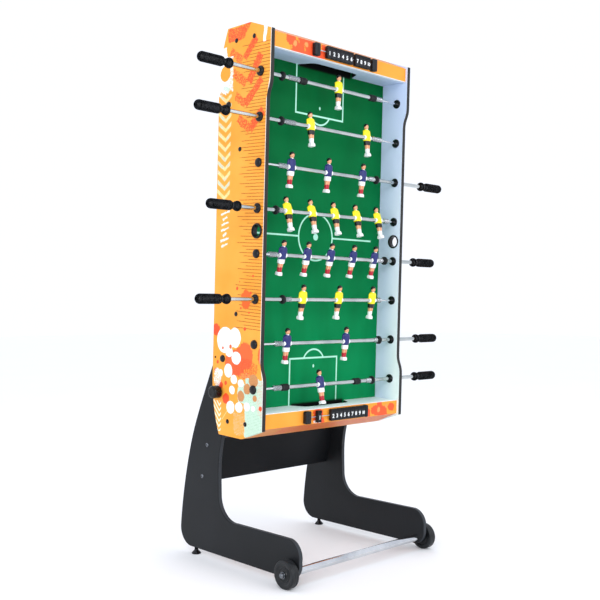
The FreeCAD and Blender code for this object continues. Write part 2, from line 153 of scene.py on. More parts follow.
def ink(red, green, blue):
    """A colour given from 0 to 255 a channel, as the shader's linear values."""
    linear = [c / 3294.6 if c <= 10 else ((c / 255 + 0.055) / 1.055) ** 2.4 for c in (red, green, blue)]
    return (*linear, 1.0)


floor_paint = Finish("floor_paint", Specular_IOR_Level=0.2)
floor_cloud = floor_paint.noise(1.5)
floor_paint.feed(Base_Color=floor_paint.mix(floor_cloud, ink(251, 251, 251), ink(254, 254, 254)),
                 Roughness=floor_cloud.ramp(0.3, 0.7, 0.7, 0.85))
bpy.ops.mesh.primitive_plane_add(size=40)
floor = bpy.context.object
floor.name = "floor"
floor.data.materials.append(floor_paint.material)

sky = bpy.data.worlds.new("studio")
sky.use_nodes = True
sky.node_tree.nodes["Background"].inputs["Color"].default_value = (1, 1.04, 1.13, 1)
sky.node_tree.nodes["Background"].inputs["Strength"].default_value = 1.0
bpy.context.scene.world = sky
bpy.context.scene.view_settings.view_transform = "Standard"

# each lamp's place, size and power; all of them face the middle of the table
LAMPS = (((-3.8, -2.6, 1.9), 2.4, 54), ((1.0, -4.2, 2.2), 3.0, 42),
         ((0.8, 2.6, 3.2), 3.0, 10), ((-3.3, -3.2, 2.5), 0.4, 9))
TABLE_MIDDLE = Vector((0, 0, 0.9))
for spot, size, watts in LAMPS:
    bpy.ops.object.light_add(type="AREA", location=spot)
    lamp = bpy.context.object
    lamp.data.size = size
    lamp.data.energy = watts
    lamp.rotation_euler = (TABLE_MIDDLE - Vector(spot)).to_track_quat("-Z", "Y").to_euler()


# ---------------------------------------------------------------- stand panels
# Two L-shaped panels of 15 mm board under a black grained foil, with a rounded
# plastic edge band. They carry the cabinet on one bolt each, near the top.

MM = 0.001
PANEL_MIDDLE = 272.5


def dressed(piece, body, slot, finishes, *nodes):
    """Gives a finished piece its materials, says what it rides on, and hides the CAD parts it stands for."""
    piece.data.materials.clear()
    for finish in finishes:
        piece.data.materials.append(finish.material)
    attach(piece, body)
    if nodes:
        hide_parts(*nodes)
    return piece


def edit(piece):
    """Puts one piece alone into edit mode with everything on it selected."""
    bpy.ops.object.select_all(action="DESELECT")
    piece.select_set(True)
    bpy.context.view_layer.objects.active = piece
    bpy.ops.object.mode_set(mode="EDIT")
    bpy.ops.mesh.select_all(action="SELECT")


def leave_edit(angle=35):
    """Back to object mode with corners over an angle kept crisp."""
    bpy.ops.object.mode_set(mode="OBJECT")
    bpy.ops.object.shade_smooth_by_angle(angle=math.radians(angle))
    return bpy.context.object


def bevelled(piece, width, segments=3, angle=35):
    """Rounds the corners of a piece that are sharper than an angle."""
    bpy.ops.object.select_all(action="DESELECT")
    piece.select_set(True)
    bpy.context.view_layer.objects.active = piece
    rounding = piece.modifiers.new("rounding", "BEVEL")
    rounding.width = width * MM
    rounding.segments = segments
    rounding.limit_method = "ANGLE"
    rounding.angle_limit = math.radians(angle)
    rounding.use_clamp_overlap = False
    bpy.ops.object.modifier_apply(modifier="rounding")
    bpy.ops.object.shade_smooth_by_angle(angle=math.radians(angle))
    return piece


def softened(name, node, width, slot, *finishes, segments=3):
    """A copy of a CAD part with its flat faces made whole and its corners rounded."""
    source = frame["nodes"][node]
    piece = bpy.data.objects.new(name, source.data.copy())
    bpy.context.scene.collection.objects.link(piece)
    edit(piece)
    bpy.ops.mesh.remove_doubles(threshold=0.00001)
    bpy.ops.mesh.dissolve_limited(angle_limit=math.radians(0.4))
    leave_edit()
    bevelled(piece, width, segments)
    return dressed(piece, source["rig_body"], slot, finishes, node)


def foiled(name, gloss, along, spots, colours, rough, flecks=0.3):
    """Black foil on a board, clouded, with its grain drawn out along one axis. Gives its colour too."""
    board = Finish(name, Specular_IOR_Level=gloss)
    grain = board.noise(700, 3, along)
    dark, light, fleck = colours
    colour = board.mix(board.noise(spots).ramp(0.3, 0.7), dark, light)
    colour = board.mix(grain.ramp(0.45, 0.75, 0, flecks), colour, fleck)
    board.feed(Base_Color=colour, Roughness=grain.ramp(0.3, 0.7, *rough), Normal=board.bump(grain, 0.00012))
    return board, colour


black_board, board_colour = foiled("black_board", 0.2, (1, 1, 0.05), 5,
                                   (ink(20, 22, 24), ink(28, 30, 33), ink(40, 43, 47)), (0.42, 0.56), 0.35)
board_across = abs(black_board.node("ShaderNodeSeparateXYZ", None, {0: black_board.place}) * 1000)
# the panels' rounded edges are painted lighter, a painted highlight where the edge band catches the light
board_edge_highlight = abs(board_across - PANEL_MIDDLE).ramp(5.2, 6.6, 1, 0)
black_board.feed(Base_Color=black_board.mix(board_edge_highlight * 0.75, board_colour, ink(56, 60, 65)))

for side in ("left", "right"):
    softened("stand_panel_" + side, "stand_%s_panel" % side, 2.2, "black_board", black_board)


# ---------------------------------------------------------------- stand cross board
# One board between the arms stops the stand from racking. It is the same foiled
# board, screwed through each panel with two domed bolts.

cross_board, _ = foiled("cross_board", 0.15, (0.05, 1, 1), 4,
                        (ink(17, 19, 22), ink(24, 26, 29), ink(34, 37, 41)), (0.4, 0.52))
softened("stand_cross_board_foiled", "stand_cross_board", 1.2, "black_board", cross_board)


# ---------------------------------------------------------------- axle bar
# A chromed steel tube joins the two feet at the front. Its ends are turned down
# and go through the panels to carry the wheels.

def turned(name, outline, steps=48):
    """Spins an outline of (distance along X, radius) in millimetres round the X axis."""
    bpy.ops.mesh.primitive_plane_add(size=MM)
    piece = bpy.context.object
    piece.name = name
    bpy.ops.object.mode_set(mode="EDIT")
    bpy.ops.mesh.select_all(action="SELECT")
    bpy.ops.mesh.merge(type="CENTER")
    bpy.ops.transform.translate(value=(outline[0][0] * MM, 0, outline[0][1] * MM))
    for (x_from, r_from), (x_to, r_to) in zip(outline, outline[1:]):
        bpy.ops.mesh.extrude_region_move(
            TRANSFORM_OT_translate={"value": ((x_to - x_from) * MM, 0, (r_to - r_from) * MM)})
    bpy.ops.mesh.select_all(action="SELECT")
    bpy.ops.mesh.spin(steps=steps, angle=math.tau, center=(0, 0, 0), axis=(1, 0, 0))
    bpy.ops.mesh.select_all(action="SELECT")
    bpy.ops.mesh.remove_doubles(threshold=0.000004)
    bpy.ops.mesh.normals_make_consistent(inside=False)
    return leave_edit()


def arc(x, radius, width, height, start, end, count=5):
    """Points on an ellipse round (x, radius), between two angles in degrees."""
    angles = [math.radians(start + (end - start) * i / count) for i in range(count + 1)]
    return [(x + width * math.cos(a), radius + height * math.sin(a)) for a in angles]


def placed(piece, matrix):
    """Moves a piece's mesh, and leaves its object at the origin."""
    piece.data.transform(matrix)
    piece.data.update()
    return piece


def outward(side, x, y, z):
    """The place of something turned, pointing away from the middle on the left or right side."""
    turn = Matrix.Identity(4) if side > 0 else Matrix.Rotation(math.pi, 4, "Z")
    return Matrix.Translation((x * MM, y * MM, z * MM)) @ turn


def copied(piece, name):
    """A copy with its own mesh."""
    twin = piece.copy()
    twin.data = piece.data.copy()
    twin.name = name
    bpy.context.scene.collection.objects.link(twin)
    return twin


def joined(name, pieces):
    """Several finished shapes as one piece."""
    bpy.ops.object.select_all(action="DESELECT")
    for piece in pieces:
        piece.select_set(True)
    bpy.context.view_layer.objects.active = pieces[0]
    bpy.ops.object.join()
    pieces[0].name = name
    return pieces[0]


chrome = Finish("chrome", Metallic=1.0)
chrome_draw = chrome.noise(900, 2, (0.03, 1, 1))
chrome_haze = chrome.noise(14, 3)
chrome.feed(Base_Color=chrome.mix(chrome_haze.ramp(0.35, 0.65), ink(188, 191, 196), ink(212, 214, 217)),
            Roughness=chrome_haze.ramp(0.3, 0.7, 0.06, 0.14) + chrome_draw * 0.05,
            Normal=chrome.bump(chrome_draw, 0.00002))

AXLE_Y, AXLE_Z = -244.5, 40.0
BAR_END = 264.9
bar_half = [(0, 11), (BAR_END - 0.8, 11), (BAR_END, 10.2), (BAR_END, 6), (313.4, 6), (314, 5.4), (314, 0)]
bar_outline = [(-x, radius) for x, radius in reversed(bar_half)] + bar_half[1:]
axle = placed(turned("axle_bar_chromed", bar_outline, 40), outward(1, 0, AXLE_Y, AXLE_Z))
dressed(axle, "stand", "chrome", [chrome], "axle_bar")


# ---------------------------------------------------------------- wheels
# Moulded black wheels, dished on both faces with a raised rim and a boss, run on
# the bar's ends. They touch the floor only when the stand is tipped forward.

wheel_black = Finish("wheel_rubber", Specular_IOR_Level=0.25, Coat_Weight=0.1, Coat_Roughness=0.1)
wheel_pit = wheel_black.noise(1400, 3)
wheel_dust = wheel_black.noise(45, 4)
wheel_colour = wheel_black.mix(wheel_dust.ramp(0.35, 0.75), ink(19, 21, 23), ink(33, 36, 39))
wheel_black.feed(Base_Color=wheel_colour, Roughness=wheel_dust.ramp(0.3, 0.7, 0.3, 0.46),
                 Normal=wheel_black.bump(wheel_pit, 0.00008))

WHEEL_IN, WHEEL_OUT = 287.0, 313.0
wheel_outline = (
    [(283, 6.05), (283, 12.4), (283.6, 13), (290, 13), (290, 26.6), (289.6, 27), (287.4, 29.6), (287, 30.4)]
    + arc(WHEEL_IN + 4, 36, 4, 4, 180, 90)
    + [(294.4, 40), (295, 39.3), (296.4, 39.3), (297, 40), (303, 40), (303.6, 39.3), (305, 39.3), (305.6, 40)]
    + arc(WHEEL_OUT - 4, 36, 4, 4, 90, 0)
    + [(313, 30.4), (312.6, 29.6), (310.4, 27), (310, 26.4), (310, 21.4), (310.9, 20.8), (310.9, 19.4),
       (310, 18.8), (310, 15.4), (312.4, 13.3), (313, 12.6), (313, 6.05), (283, 6.05)])
for side, word in ((-1, "left"), (1, "right")):
    wheel = placed(turned(word + "_wheel_moulded", wheel_outline, 64), outward(side, 0, AXLE_Y, AXLE_Z))
    dressed(wheel, word + "_wheel", "wheel_rubber", [wheel_black], word + "_wheel")


# ---------------------------------------------------------------- stand bolts
# Steel button heads hold the cross board, each with its socket for the key, and
# a washer and dome nut keep each wheel on. All are blacked.

def clouded(name, cloud, dark, light, rough, depth, pits=None, **constants):
    """A finish with faint clouds in its colour and gloss, over clouds of its own or finer pits in relief."""
    finish = Finish(name, **constants)
    haze = finish.noise(*cloud)
    relief = finish.noise(*pits) if pits else haze
    finish.feed(Base_Color=finish.mix(haze.ramp(0.3, 0.7), dark, light), Roughness=haze.ramp(0.3, 0.7, *rough),
                Normal=finish.bump(relief, depth))
    return finish


black_steel = clouded("black_steel", (260, 3), ink(84, 88, 94), ink(124, 128, 134), (0.18, 0.32), 0.00003,
                      Metallic=0.85, Coat_Weight=0.15)


def button_head(name, radius, high, socket, steps=32):
    """A domed bolt head standing on x = 0, with a round socket for the key."""
    crown = [(high * math.cos(a), radius * math.sin(a)) for a in
             (math.radians(90 - 7.5 * i) for i in range(12)) if radius * math.sin(a) > socket]
    recess = [(crown[-1][0], socket), (high * 0.45, socket * 0.85), (high * 0.4, 0)]
    return turned(name, [(0, 0), (0, radius), *crown[1:], *recess], steps)


CROSS_BOARD = Matrix.Translation((0, 0.174, 0.233)) @ Matrix.Rotation(math.radians(14), 4, "X")
board_bolt = button_head("board_bolt", 6.5, 3.2, 2.4)
stand_bolts = []
for side in (-1, 1):
    for along in (18.5, 122):
        spot = CROSS_BOARD @ Vector((0, 0, along * MM))
        stand_bolts.append(placed(copied(board_bolt, "board_bolt_copy"),
                                  outward(side, side * 280, spot.y / MM, spot.z / MM)))
    hub = turned("hub_nut", [(314, 0), (314, 9.6), (314.4, 10), (315.4, 10), (315.8, 9.6), (315.8, 7.6),
                             (319, 7.6)] + arc(319, 3.4, 4, 4.2, 90, 0, 5) + [(323, 0)], 36)
    stand_bolts.append(placed(hub, outward(side, 0, AXLE_Y, AXLE_Z)))
bpy.data.objects.remove(board_bolt)
dressed(joined("stand_bolt_heads", stand_bolts), "stand", "black_steel", [black_steel], "stand_bolts")


# ---------------------------------------------------------------- levelling feet
# A glossy moulded foot turns on a threaded stem under each heel, to level the
# table on an uneven floor.

gloss_black = clouded("gloss_black_plastic", (120, 2), ink(9, 10, 12), ink(18, 20, 23), (0.16, 0.28), 0.00003,
                      (1100, 2), Specular_IOR_Level=0.22, Coat_Weight=0.2, Coat_Roughness=0.05)

foot_outline = [(0, 0), (0, 14.2), (0.8, 15), (2.6, 15), (3.4, 14.4), (5.2, 13), (7.6, 10.8), (10, 8.2), (12, 6.6),
                (13.5, 6), (14.4, 6), (14.8, 5.4)]
for turn in range(3):
    foot_outline += [(15.2 + turn * 1.5, 5.0), (15.9 + turn * 1.5, 5.9)]
foot_outline += [(19.8, 5.4), (19.8, 0)]
feet = []
for side in (-1, 1):
    foot = turned("levelling_foot", foot_outline, 40)
    feet.append(placed(foot, Matrix.Translation((side * PANEL_MIDDLE * MM, 0.21, 0))
                       @ Matrix.Rotation(-math.pi / 2, 4, "Y")))
dressed(joined("levelling_feet_moulded", feet), "stand", "black_plastic", [gloss_black], "levelling_feet")


# ---------------------------------------------------------------- cabinet side walls
# Two 12 mm boards, printed outside with brush chevrons, hatching, dots and pebbles
# on orange, and pale blue inside. They hold the rods, and hang on the stand.

LEAN = math.radians(2.1)
CABINET_BACK, CABINET_LIFT = 91.5, 398.0
CABINET = Matrix.Translation((0, CABINET_BACK * MM, CABINET_LIFT * MM)) @ Matrix.Rotation(LEAN, 4, "X")
LENGTH, HALF_WIDTH, INNER_FACE = 1218.0, 305.0, 293.0


def in_cabinet(across, forward, up):
    """A place from the cabinet's own axes: across, forward from its underside and up from its end."""
    return CABINET @ Vector((across * MM, -forward * MM, up * MM))


def cabinet_axes(finish):
    """The same three axes inside a finish, in millimetres."""
    x, y, z = (finish.node("ShaderNodeSeparateXYZ", None, {0: finish.place}, way) for way in range(3))
    y, z = y * 1000 - CABINET_BACK, z * 1000 - CABINET_LIFT
    cos, sin = math.cos(LEAN), math.sin(LEAN)
    return x * 1000, y * -cos - z * sin, z * cos - y * sin


class Print:
    """A printed picture laid down colour by colour on a pair of axes in millimetres."""

    def __init__(self, finish, across, up, ground):
        self.finish, self.across, self.up, self.colour = finish, across, up, ground
        self.ragged = finish.noise(75, 4, roughness=0.7) - 0.5
        self.rough = finish.noise(30, 2) - 0.5
        self.grain = finish.noise(330, 3, roughness=0.75)

    def lay(self, mask, colour):
        self.colour = self.finish.mix(mask, self.colour, colour)

    def bar(self, start, end, width, fray=0.0, corner=0.0):
        """A stroke from one point to another, with square or rounded ends."""
        (x0, y0), (x1, y1) = start, end
        long = math.hypot(x1 - x0, y1 - y0)
        dx, dy = (x1 - x0) / long, (y1 - y0) / long
        along = self.across * dx + self.up * dy - (x0 * dx + y0 * dy + long / 2)
        aside = self.up * dx - self.across * dy - (y0 * dx - x0 * dy)
        past, beside = abs(along) - (long / 2 - corner), abs(aside) - (width / 2 - corner)
        if not corner:
            return self.cut(past.larger(beside), fray)
        past, beside = past.larger(0), beside.larger(0)
        return self.cut((past * past + beside * beside).math("SQRT") - corner, fray)

    def spot(self, x, y, radius, fray=0.0, stretch=1.0):
        """A round or oval patch."""
        dx, dy = self.across - x, (self.up - y) / stretch
        return self.cut((dx * dx + dy * dy).math("SQRT") - radius, fray)

    def box(self, x0, x1, y0, y1, fray=0.0):
        """A patch with straight sides along the axes."""
        past = abs(self.across - (x0 + x1) / 2) - (x1 - x0) / 2
        above = abs(self.up - (y0 + y1) / 2) - (y1 - y0) / 2
        return self.cut(past.larger(above), fray)

    def cut(self, edge, fray):
        """Turns a distance from an edge into a mask, with a torn edge if it is frayed."""
        if fray:
            edge = edge + self.ragged * (fray * 2) + self.rough * fray
        return edge.ramp(-0.6, 0.6, 1, 0)

    def worn(self, mask, low=0.40, high=0.5):
        """Breaks a mask up with the gaps a dry brush leaves."""
        return mask * self.grain.ramp(low, high)

    def brush(self, colour, start, end, width, fray, *gaps):
        """Lays one dry brush stroke."""
        self.lay(self.worn(self.bar(start, end, width, fray), *gaps), colour)

    def dabs(self, colour, fray, *places):
        """Lays a round patch at each (x, y, radius), or an oval one where a stretch comes last."""
        for x, y, radius, *stretch in places:
            self.lay(self.spot(x, y, radius, fray, *stretch), colour)


ORANGE, HATCH = ink(248, 161, 50), ink(176, 88, 16)
RED_ORANGE, PAPER_WHITE, MINT, CREAM, TAN = (
    ink(248, 84, 40), ink(250, 248, 244), ink(200, 227, 206), ink(246, 230, 156), ink(206, 142, 88))

wall_print = Finish("printed_side", Specular_IOR_Level=0.25)
wall_x, forward, up = cabinet_axes(wall_print)
side_art = Print(wall_print, forward, up,
                 wall_print.mix(wall_print.noise(9, 2).ramp(0.35, 0.7), ORANGE, ink(249, 172, 66)))

# thin brush-dry hatching runs in from the front rim
row = (up + forward * 0.035) / 9.6
row_number = row.math("FLOOR")
row_shift = (row_number * 0.618).math("FRACT")
hatch_line = abs(row.math("FRACT") - 0.5 + side_art.ragged * 0.25).ramp(0.08, 0.14, 1, 0)
hatch_start = row_shift * 52 + 98 + side_art.ragged * 44
hatch_zone = (forward - hatch_start).ramp(0, 10) * side_art.box(60, 233, 318, 1158, 6)
side_art.lay(hatch_line * hatch_zone * side_art.grain.ramp(0.34, 0.48, 0.4, 1.0), HATCH)

# four wide chevrons, one arm up to the left and one to the right
side_art.lay(side_art.worn(side_art.box(40, 120, 1174, 1214, 9), 0.38, 0.47), RED_ORANGE)
side_art.brush(RED_ORANGE, (108, 1188), (136, 1222), 22, 6, 0.42, 0.5)
CHEVRONS = ((((54, 1146), (108, 1112)), ((118, 1116), (170, 1168)), 24),
            (((66, 1082), (128, 1042)), ((142, 1044), (192, 1118)), 26),
            (((80, 1012), (128, 982)), ((126, 982), (200, 1046)), 24),
            (((96, 946), (150, 906)), ((150, 906), (206, 954)), 27))
for left_arm, right_arm, width in CHEVRONS:
    side_art.brush(RED_ORANGE, *left_arm, width, 8, 0.43, 0.51)
    side_art.brush(RED_ORANGE, *right_arm, width, 8, 0.39, 0.47)
side_art.brush(PAPER_WHITE, (206, 1150), (212, 1202), 15, 6, 0.3, 0.42)

# a white patch on the rear edge with an orange disc, then a run of pale chevrons under it
side_art.lay(side_art.bar((-4, 1160), (14, 1020), 74, 12), PAPER_WHITE)
side_art.lay(side_art.worn(side_art.box(20, 66, 1030, 1132, 12)), PAPER_WHITE)
side_art.lay(side_art.spot(30, 1085, 24, 4), ORANGE)
side_art.brush(MINT, (22, 1046), (52, 1030), 15, 5)
side_art.brush(ORANGE, (6, 1030), (34, 1012), 12, 5)
chevron = (up - abs(forward - 37) * 0.72) / 29
chevron_line = abs(chevron.math("FRACT") - 0.5 + side_art.rough * 0.2).ramp(0.17, 0.26, 1, 0)
side_art.lay(chevron_line * side_art.box(2, 62, 700, 1020, 5) * side_art.grain.ramp(0.34, 0.5, 0.3, 0.9),
             wall_print.mix(side_art.rough.ramp(-0.1, 0.1), CREAM, MINT))

# seven loose white brush slashes beside the middle of the table
for step in range(7):
    low, reach = 566 + step * 16, 15 + 6 * math.sin(step * 2.3)
    side_art.brush(PAPER_WHITE, (44 - reach, low), (44 + reach, low + 9), 6, 5, 0.36, 0.46)

# a splash of red above the pebbles
side_art.lay(side_art.spot(150, 412, 22, 9, 1.25), ink(248, 104, 34))
side_art.dabs(RED_ORANGE, 3, (109, 442, 5), (149, 324, 6), (180, 479, 3.5), (128, 384, 3.5), (172, 430, 4),
              (96, 412, 3), (166, 372, 3), (188, 398, 2.5), (120, 462, 3))

# the lower third: rust and mint patches with fine dots, behind white pebbles
RUST, DOT = ink(240, 104, 50), ink(132, 186, 140)
side_art.lay(side_art.spot(152, 246, 36, 12, 1.1), RUST)
side_art.lay(side_art.spot(108, 222, 48, 10, 0.8), RUST)
side_art.lay(side_art.spot(224, 252, 13, 9, 2.4), RUST)
side_art.lay(side_art.worn(side_art.spot(150, 208, 60, 14, 0.5), 0.44, 0.52), RED_ORANGE)
side_art.lay(side_art.spot(12, 316, 20, 12, 0.9), RED_ORANGE)
side_art.lay(side_art.box(157, 240, 10, 182, 9), MINT)
side_art.lay(side_art.bar((142, 106), (150, 166), 46, 9, 14), MINT)
dots = wall_print.node("ShaderNodeTexVoronoi", {"feature": "F1"},
                       {"Vector": wall_print.place, "Scale": 230, "Randomness": 0.15})
side_art.lay(dots.ramp(0.26, 0.34, 1, 0) * side_art.box(134, 240, 14, 196, 14), DOT)
side_art.lay(dots.ramp(0.30, 0.38, 1, 0) * side_art.spot(216, 196, 34, 16, 1.0), ORANGE)
side_art.lay(dots.ramp(0.28, 0.34, 1, 0) * side_art.box(108, 162, 10, 74, 14), MINT)
side_art.lay(dots.ramp(0.30, 0.36, 1, 0) * side_art.spot(228, 132, 18, 12, 3.2), ink(236, 124, 78))
for x, y, radius in ((193, 176, 20), (165, 150, 16), (138, 126, 16), (201, 126, 10)):
    side_art.lay(side_art.spot(x, y, radius, 3), TAN)
    side_art.lay(dots.ramp(0.28, 0.36, 1, 0) * side_art.spot(x, y, radius, 3), ink(186, 128, 70))
side_art.dabs(RED_ORANGE, 4, (68, 112, 16), (41, 149, 11), (14, 193, 6), (24, 218, 5), (66, 158, 6), (227, 100, 7))
side_art.lay(side_art.worn(side_art.spot(24, 172, 17, 10, 1.6), 0.44, 0.5), PAPER_WHITE)
side_art.dabs(PAPER_WHITE, 2.5, (58, 286, 39), (104, 296, 27, 1.1), (78, 252, 17, 0.9), (112, 236, 22, 0.85),
              (76, 196, 19, 1.1), (104, 172, 15, 0.9), (40, 186, 10, 1.1), (136, 164, 14, 0.8), (96, 140, 13),
              (90, 88, 19), (130, 92, 17, 0.9), (166, 98, 14, 0.9), (194, 96, 9, 0.9))
side_art.dabs(RUST, 3, (84, 268, 6), (48, 262, 4), (118, 262, 4.5), (96, 206, 4))
leaf = (up - abs(forward - 37) * 1.1) / 16
leaf_line = abs(leaf.math("FRACT") - 0.5).ramp(0.2, 0.26, 1, 0)
side_art.lay(leaf_line * side_art.box(8, 46, 10, 102, 4), ink(250, 240, 206))
side_art.lay(side_art.bar((52, 48), (92, 96), 1.6), CREAM)

# a fine white line beside the rim's trim, and the pale inner face, with painted shade that makes it darker and bluer
# towards the field and towards the upper end
rim_step = up.ramp(170, 234, 234.6, 220.6).larger(up.ramp(984, 1048, 220.6, 234.6))
side_art.lay((forward - rim_step + 1.5).ramp(0, 0.8, 0, 0.85), PAPER_WHITE)
inner_depth_shaded = wall_print.mix(forward.ramp(160, 215), ink(222, 234, 255), ink(243, 254, 252))
inner_painted_shade = wall_print.mix(up.ramp(150, 1050), inner_depth_shaded, ink(210, 225, 255))
wall_colour = wall_print.mix(abs(wall_x).ramp(INNER_FACE + 0.4, INNER_FACE + 0.9), inner_painted_shade, side_art.colour)
paper_grain = wall_print.noise(1500, 2)
wall_print.feed(Base_Color=wall_colour, Roughness=side_art.grain.ramp(0.3, 0.7, 0.38, 0.5),
                Normal=wall_print.bump(paper_grain, 0.00004))
for side in ("left", "right"):
    softened(side + "_printed_wall", side + "_side_wall", 0.8, "orange_board", wall_print, segments=2)


# ---------------------------------------------------------------- edge trims
# Black plastic T-moulding is pressed into the front rim of each wall. Its face is
# slightly crowned, and it dips where the players' rows are.

trim_black = clouded("rim_trim_plastic", (60, 3, (1, 1, 0.2)), ink(20, 20, 19), ink(32, 32, 30), (0.38, 0.5),
                     0.00006, (1600, 2), Specular_IOR_Level=0.35)
softened("edge_trims_moulded", "edge_trims", 1.1, "black_plastic", trim_black)


# ---------------------------------------------------------------- end covers
# A folded printed board closes each end, with a strip that faces the players and
# carries the score beads. The strips are orange with red brush patches.

strip_print = Finish("printed_end", Specular_IOR_Level=0.25)
across, strip_forward, strip_up = cabinet_axes(strip_print)
strip_art = Print(strip_print, across, strip_up,
                  strip_print.mix(strip_print.noise(8, 2).ramp(0.35, 0.7), ink(246, 152, 46), ink(247, 161, 58)))
strip_art.dabs(ink(248, 88, 44), 15, (-222, 1172, 19, 0.9), (-190, 1146, 27, 0.9), (-178, 1176, 16, 0.8),
               (-145, 1158, 24, 1.2), (-120, 1150, 22, 1.2), (-88, 1158, 12, 2.0), (188, 58, 22, 0.8),
               (222, 50, 24, 0.9), (262, 62, 17, 0.8), (206, 74, 15, 0.7), (-76, 62, 22, 1.1), (-60, 40, 18),
               (150, 48, 12, 1.3))
strip_art.dabs(ink(250, 150, 84), 9, (-205, 1160, 8), (-160, 1166, 7), (-84, 38, 9), (204, 58, 8), (240, 66, 7))
strip_art.brush(PAPER_WHITE, (-92, 44), (-62, 40), 6, 4)
# below the strip's front face the print is painted browner and darker on the slope, a painted shade
slope_shade = strip_forward.ramp(222, 227)
slope_print_in_shade = strip_print.mix(strip_art.worn(strip_art.bar((-200, 20), (300, 20), 30, 22), 0.42, 0.56),
                        ink(214, 132, 52), ink(214, 92, 58))
strip_colour = strip_print.mix(slope_shade, slope_print_in_shade, strip_art.colour)
strip_inside = ((strip_up - 80.6).ramp(0, 1) * (1137.4 - strip_up).ramp(0, 1))
strip_colour = strip_print.mix(strip_inside, strip_colour, ink(247, 252, 255))
strip_print.feed(Base_Color=strip_colour, Roughness=strip_art.grain.ramp(0.3, 0.7, 0.38, 0.5),
                 Normal=strip_print.bump(strip_print.noise(1500, 2), 0.00004))
for end in ("lower", "upper"):
    softened(end + "_printed_cover", end + "_end_cover", 0.7, "orange_board", strip_print, segments=2)


# ---------------------------------------------------------------- goal walls and boxes
# A pale board across each end of the field has the goal's opening cut in it. A
# thin black moulded box behind the opening catches the ball.

pale_board = Finish("pale_board", Specular_IOR_Level=0.35)
goal_x, goal_forward, goal_up = cabinet_axes(pale_board)
pale_cloud = pale_board.noise(12, 3)
pale_colour = pale_board.mix(pale_cloud.ramp(0.3, 0.7), ink(244, 250, 254), ink(250, 254, 255))
# the boards darken and turn bluer towards the upper end, a painted shade
pale_colour = pale_board.mix(goal_up.ramp(300, 900), pale_colour, ink(200, 214, 240))

# the cut edges of the opening are painted near-black as painted shade: inside the board, round the mouth and below its
# top
GOAL_SHIFT, GOAL_WALL_MIDDLE = 18.0, 76.3
goal_edge_painted_shade = abs(goal_up - LENGTH / 2) - (LENGTH / 2 - GOAL_WALL_MIDDLE)
goal_edge_painted_shade = abs(goal_edge_painted_shade).ramp(5.2, 5.6, 1, 0) * abs(goal_x - GOAL_SHIFT).ramp(123, 124, 1, 0)
goal_edge_painted_shade = goal_edge_painted_shade * goal_forward.ramp(178.8, 179.2, 1, 0)
pale_board.feed(Base_Color=pale_board.mix(goal_edge_painted_shade, pale_colour, ink(16, 18, 20)),
                Roughness=pale_cloud.ramp(0.3, 0.7, 0.4, 0.52),
                Normal=pale_board.bump(pale_board.noise(1500, 2), 0.00004))
softened("goal_walls_cut", "goal_walls", 0.8, "pale_board", pale_board, segments=2)

goal_black = clouded("goal_box_plastic", (900, 3), ink(16, 18, 20), ink(27, 30, 32), (0.45, 0.6), 0.0001,
                     Specular_IOR_Level=0.4)
softened("goal_boxes_moulded", "goal_boxes", 0.8, "black_plastic", goal_black, segments=2)


# ---------------------------------------------------------------- playfield
# The field is a thin board printed green, with painted shade that darkens it towards the top, and with mint-white
# lines for the two boxes, the halfway line and the centre circle. Its back is bare.

field_green = Finish("printed_field", Specular_IOR_Level=0.05)
field_x, field_forward, field_up = cabinet_axes(field_green)
mottle = field_green.noise(16, 3, (1, 1, 0.25))
# the green darkens towards the top end, a painted shade
green = field_green.mix(field_up.ramp(120, 1120), ink(6, 137, 80), ink(1, 92, 43))
green = field_green.mix(mottle.ramp(0.35, 0.72, 0, 0.5), green, ink(3, 108, 56))
field_art = Print(field_green, field_x, field_up, green)
LINE = 2.6


def line_round(x, y, radius):
    """A circle drawn as a thin line."""
    dx, dy = field_x - x, field_up - y
    return field_art.cut(abs((dx * dx + dy * dy).math("SQRT") - radius) - LINE, 0)


top_box, low_box = (-107, 100, 989), (-106, 101, 227)
lines = field_art.bar((top_box[0], top_box[2]), (top_box[1], top_box[2]), LINE * 2)
lines = lines.larger(field_art.bar((low_box[0], low_box[2]), (low_box[1], low_box[2]), LINE * 2))
for x in top_box[:2]:
    lines = lines.larger(field_art.bar((x, 1205), (x, top_box[2] - LINE), LINE * 2))
for x in low_box[:2]:
    lines = lines.larger(field_art.bar((x, 12), (x, low_box[2] + LINE), LINE * 2))
lines = lines.larger(line_round(-4, 1011, 48) * field_up.ramp(988, 989.5, 1, 0))
lines = lines.larger(line_round(-4, 206, 48) * field_up.ramp(226.5, 228))
lines = lines.larger(line_round(-8, 609, 74))
lines = lines.larger(field_art.bar((-293, 609), (-82, 609), LINE * 2))
lines = lines.larger(field_art.bar((66, 609), (250, 609), LINE * 2))
for x, y, radius, stretch in ((-8, 609, 10.5, 1.0), (-4, 1015, 3.4, 1.5), (-4, 201, 3.4, 1.5)):
    lines = lines.larger(field_art.spot(x, y, radius, 0, stretch))
field_art.lay(lines * field_art.grain.ramp(0.2, 0.4, 0.86, 0.97), ink(186, 246, 222))
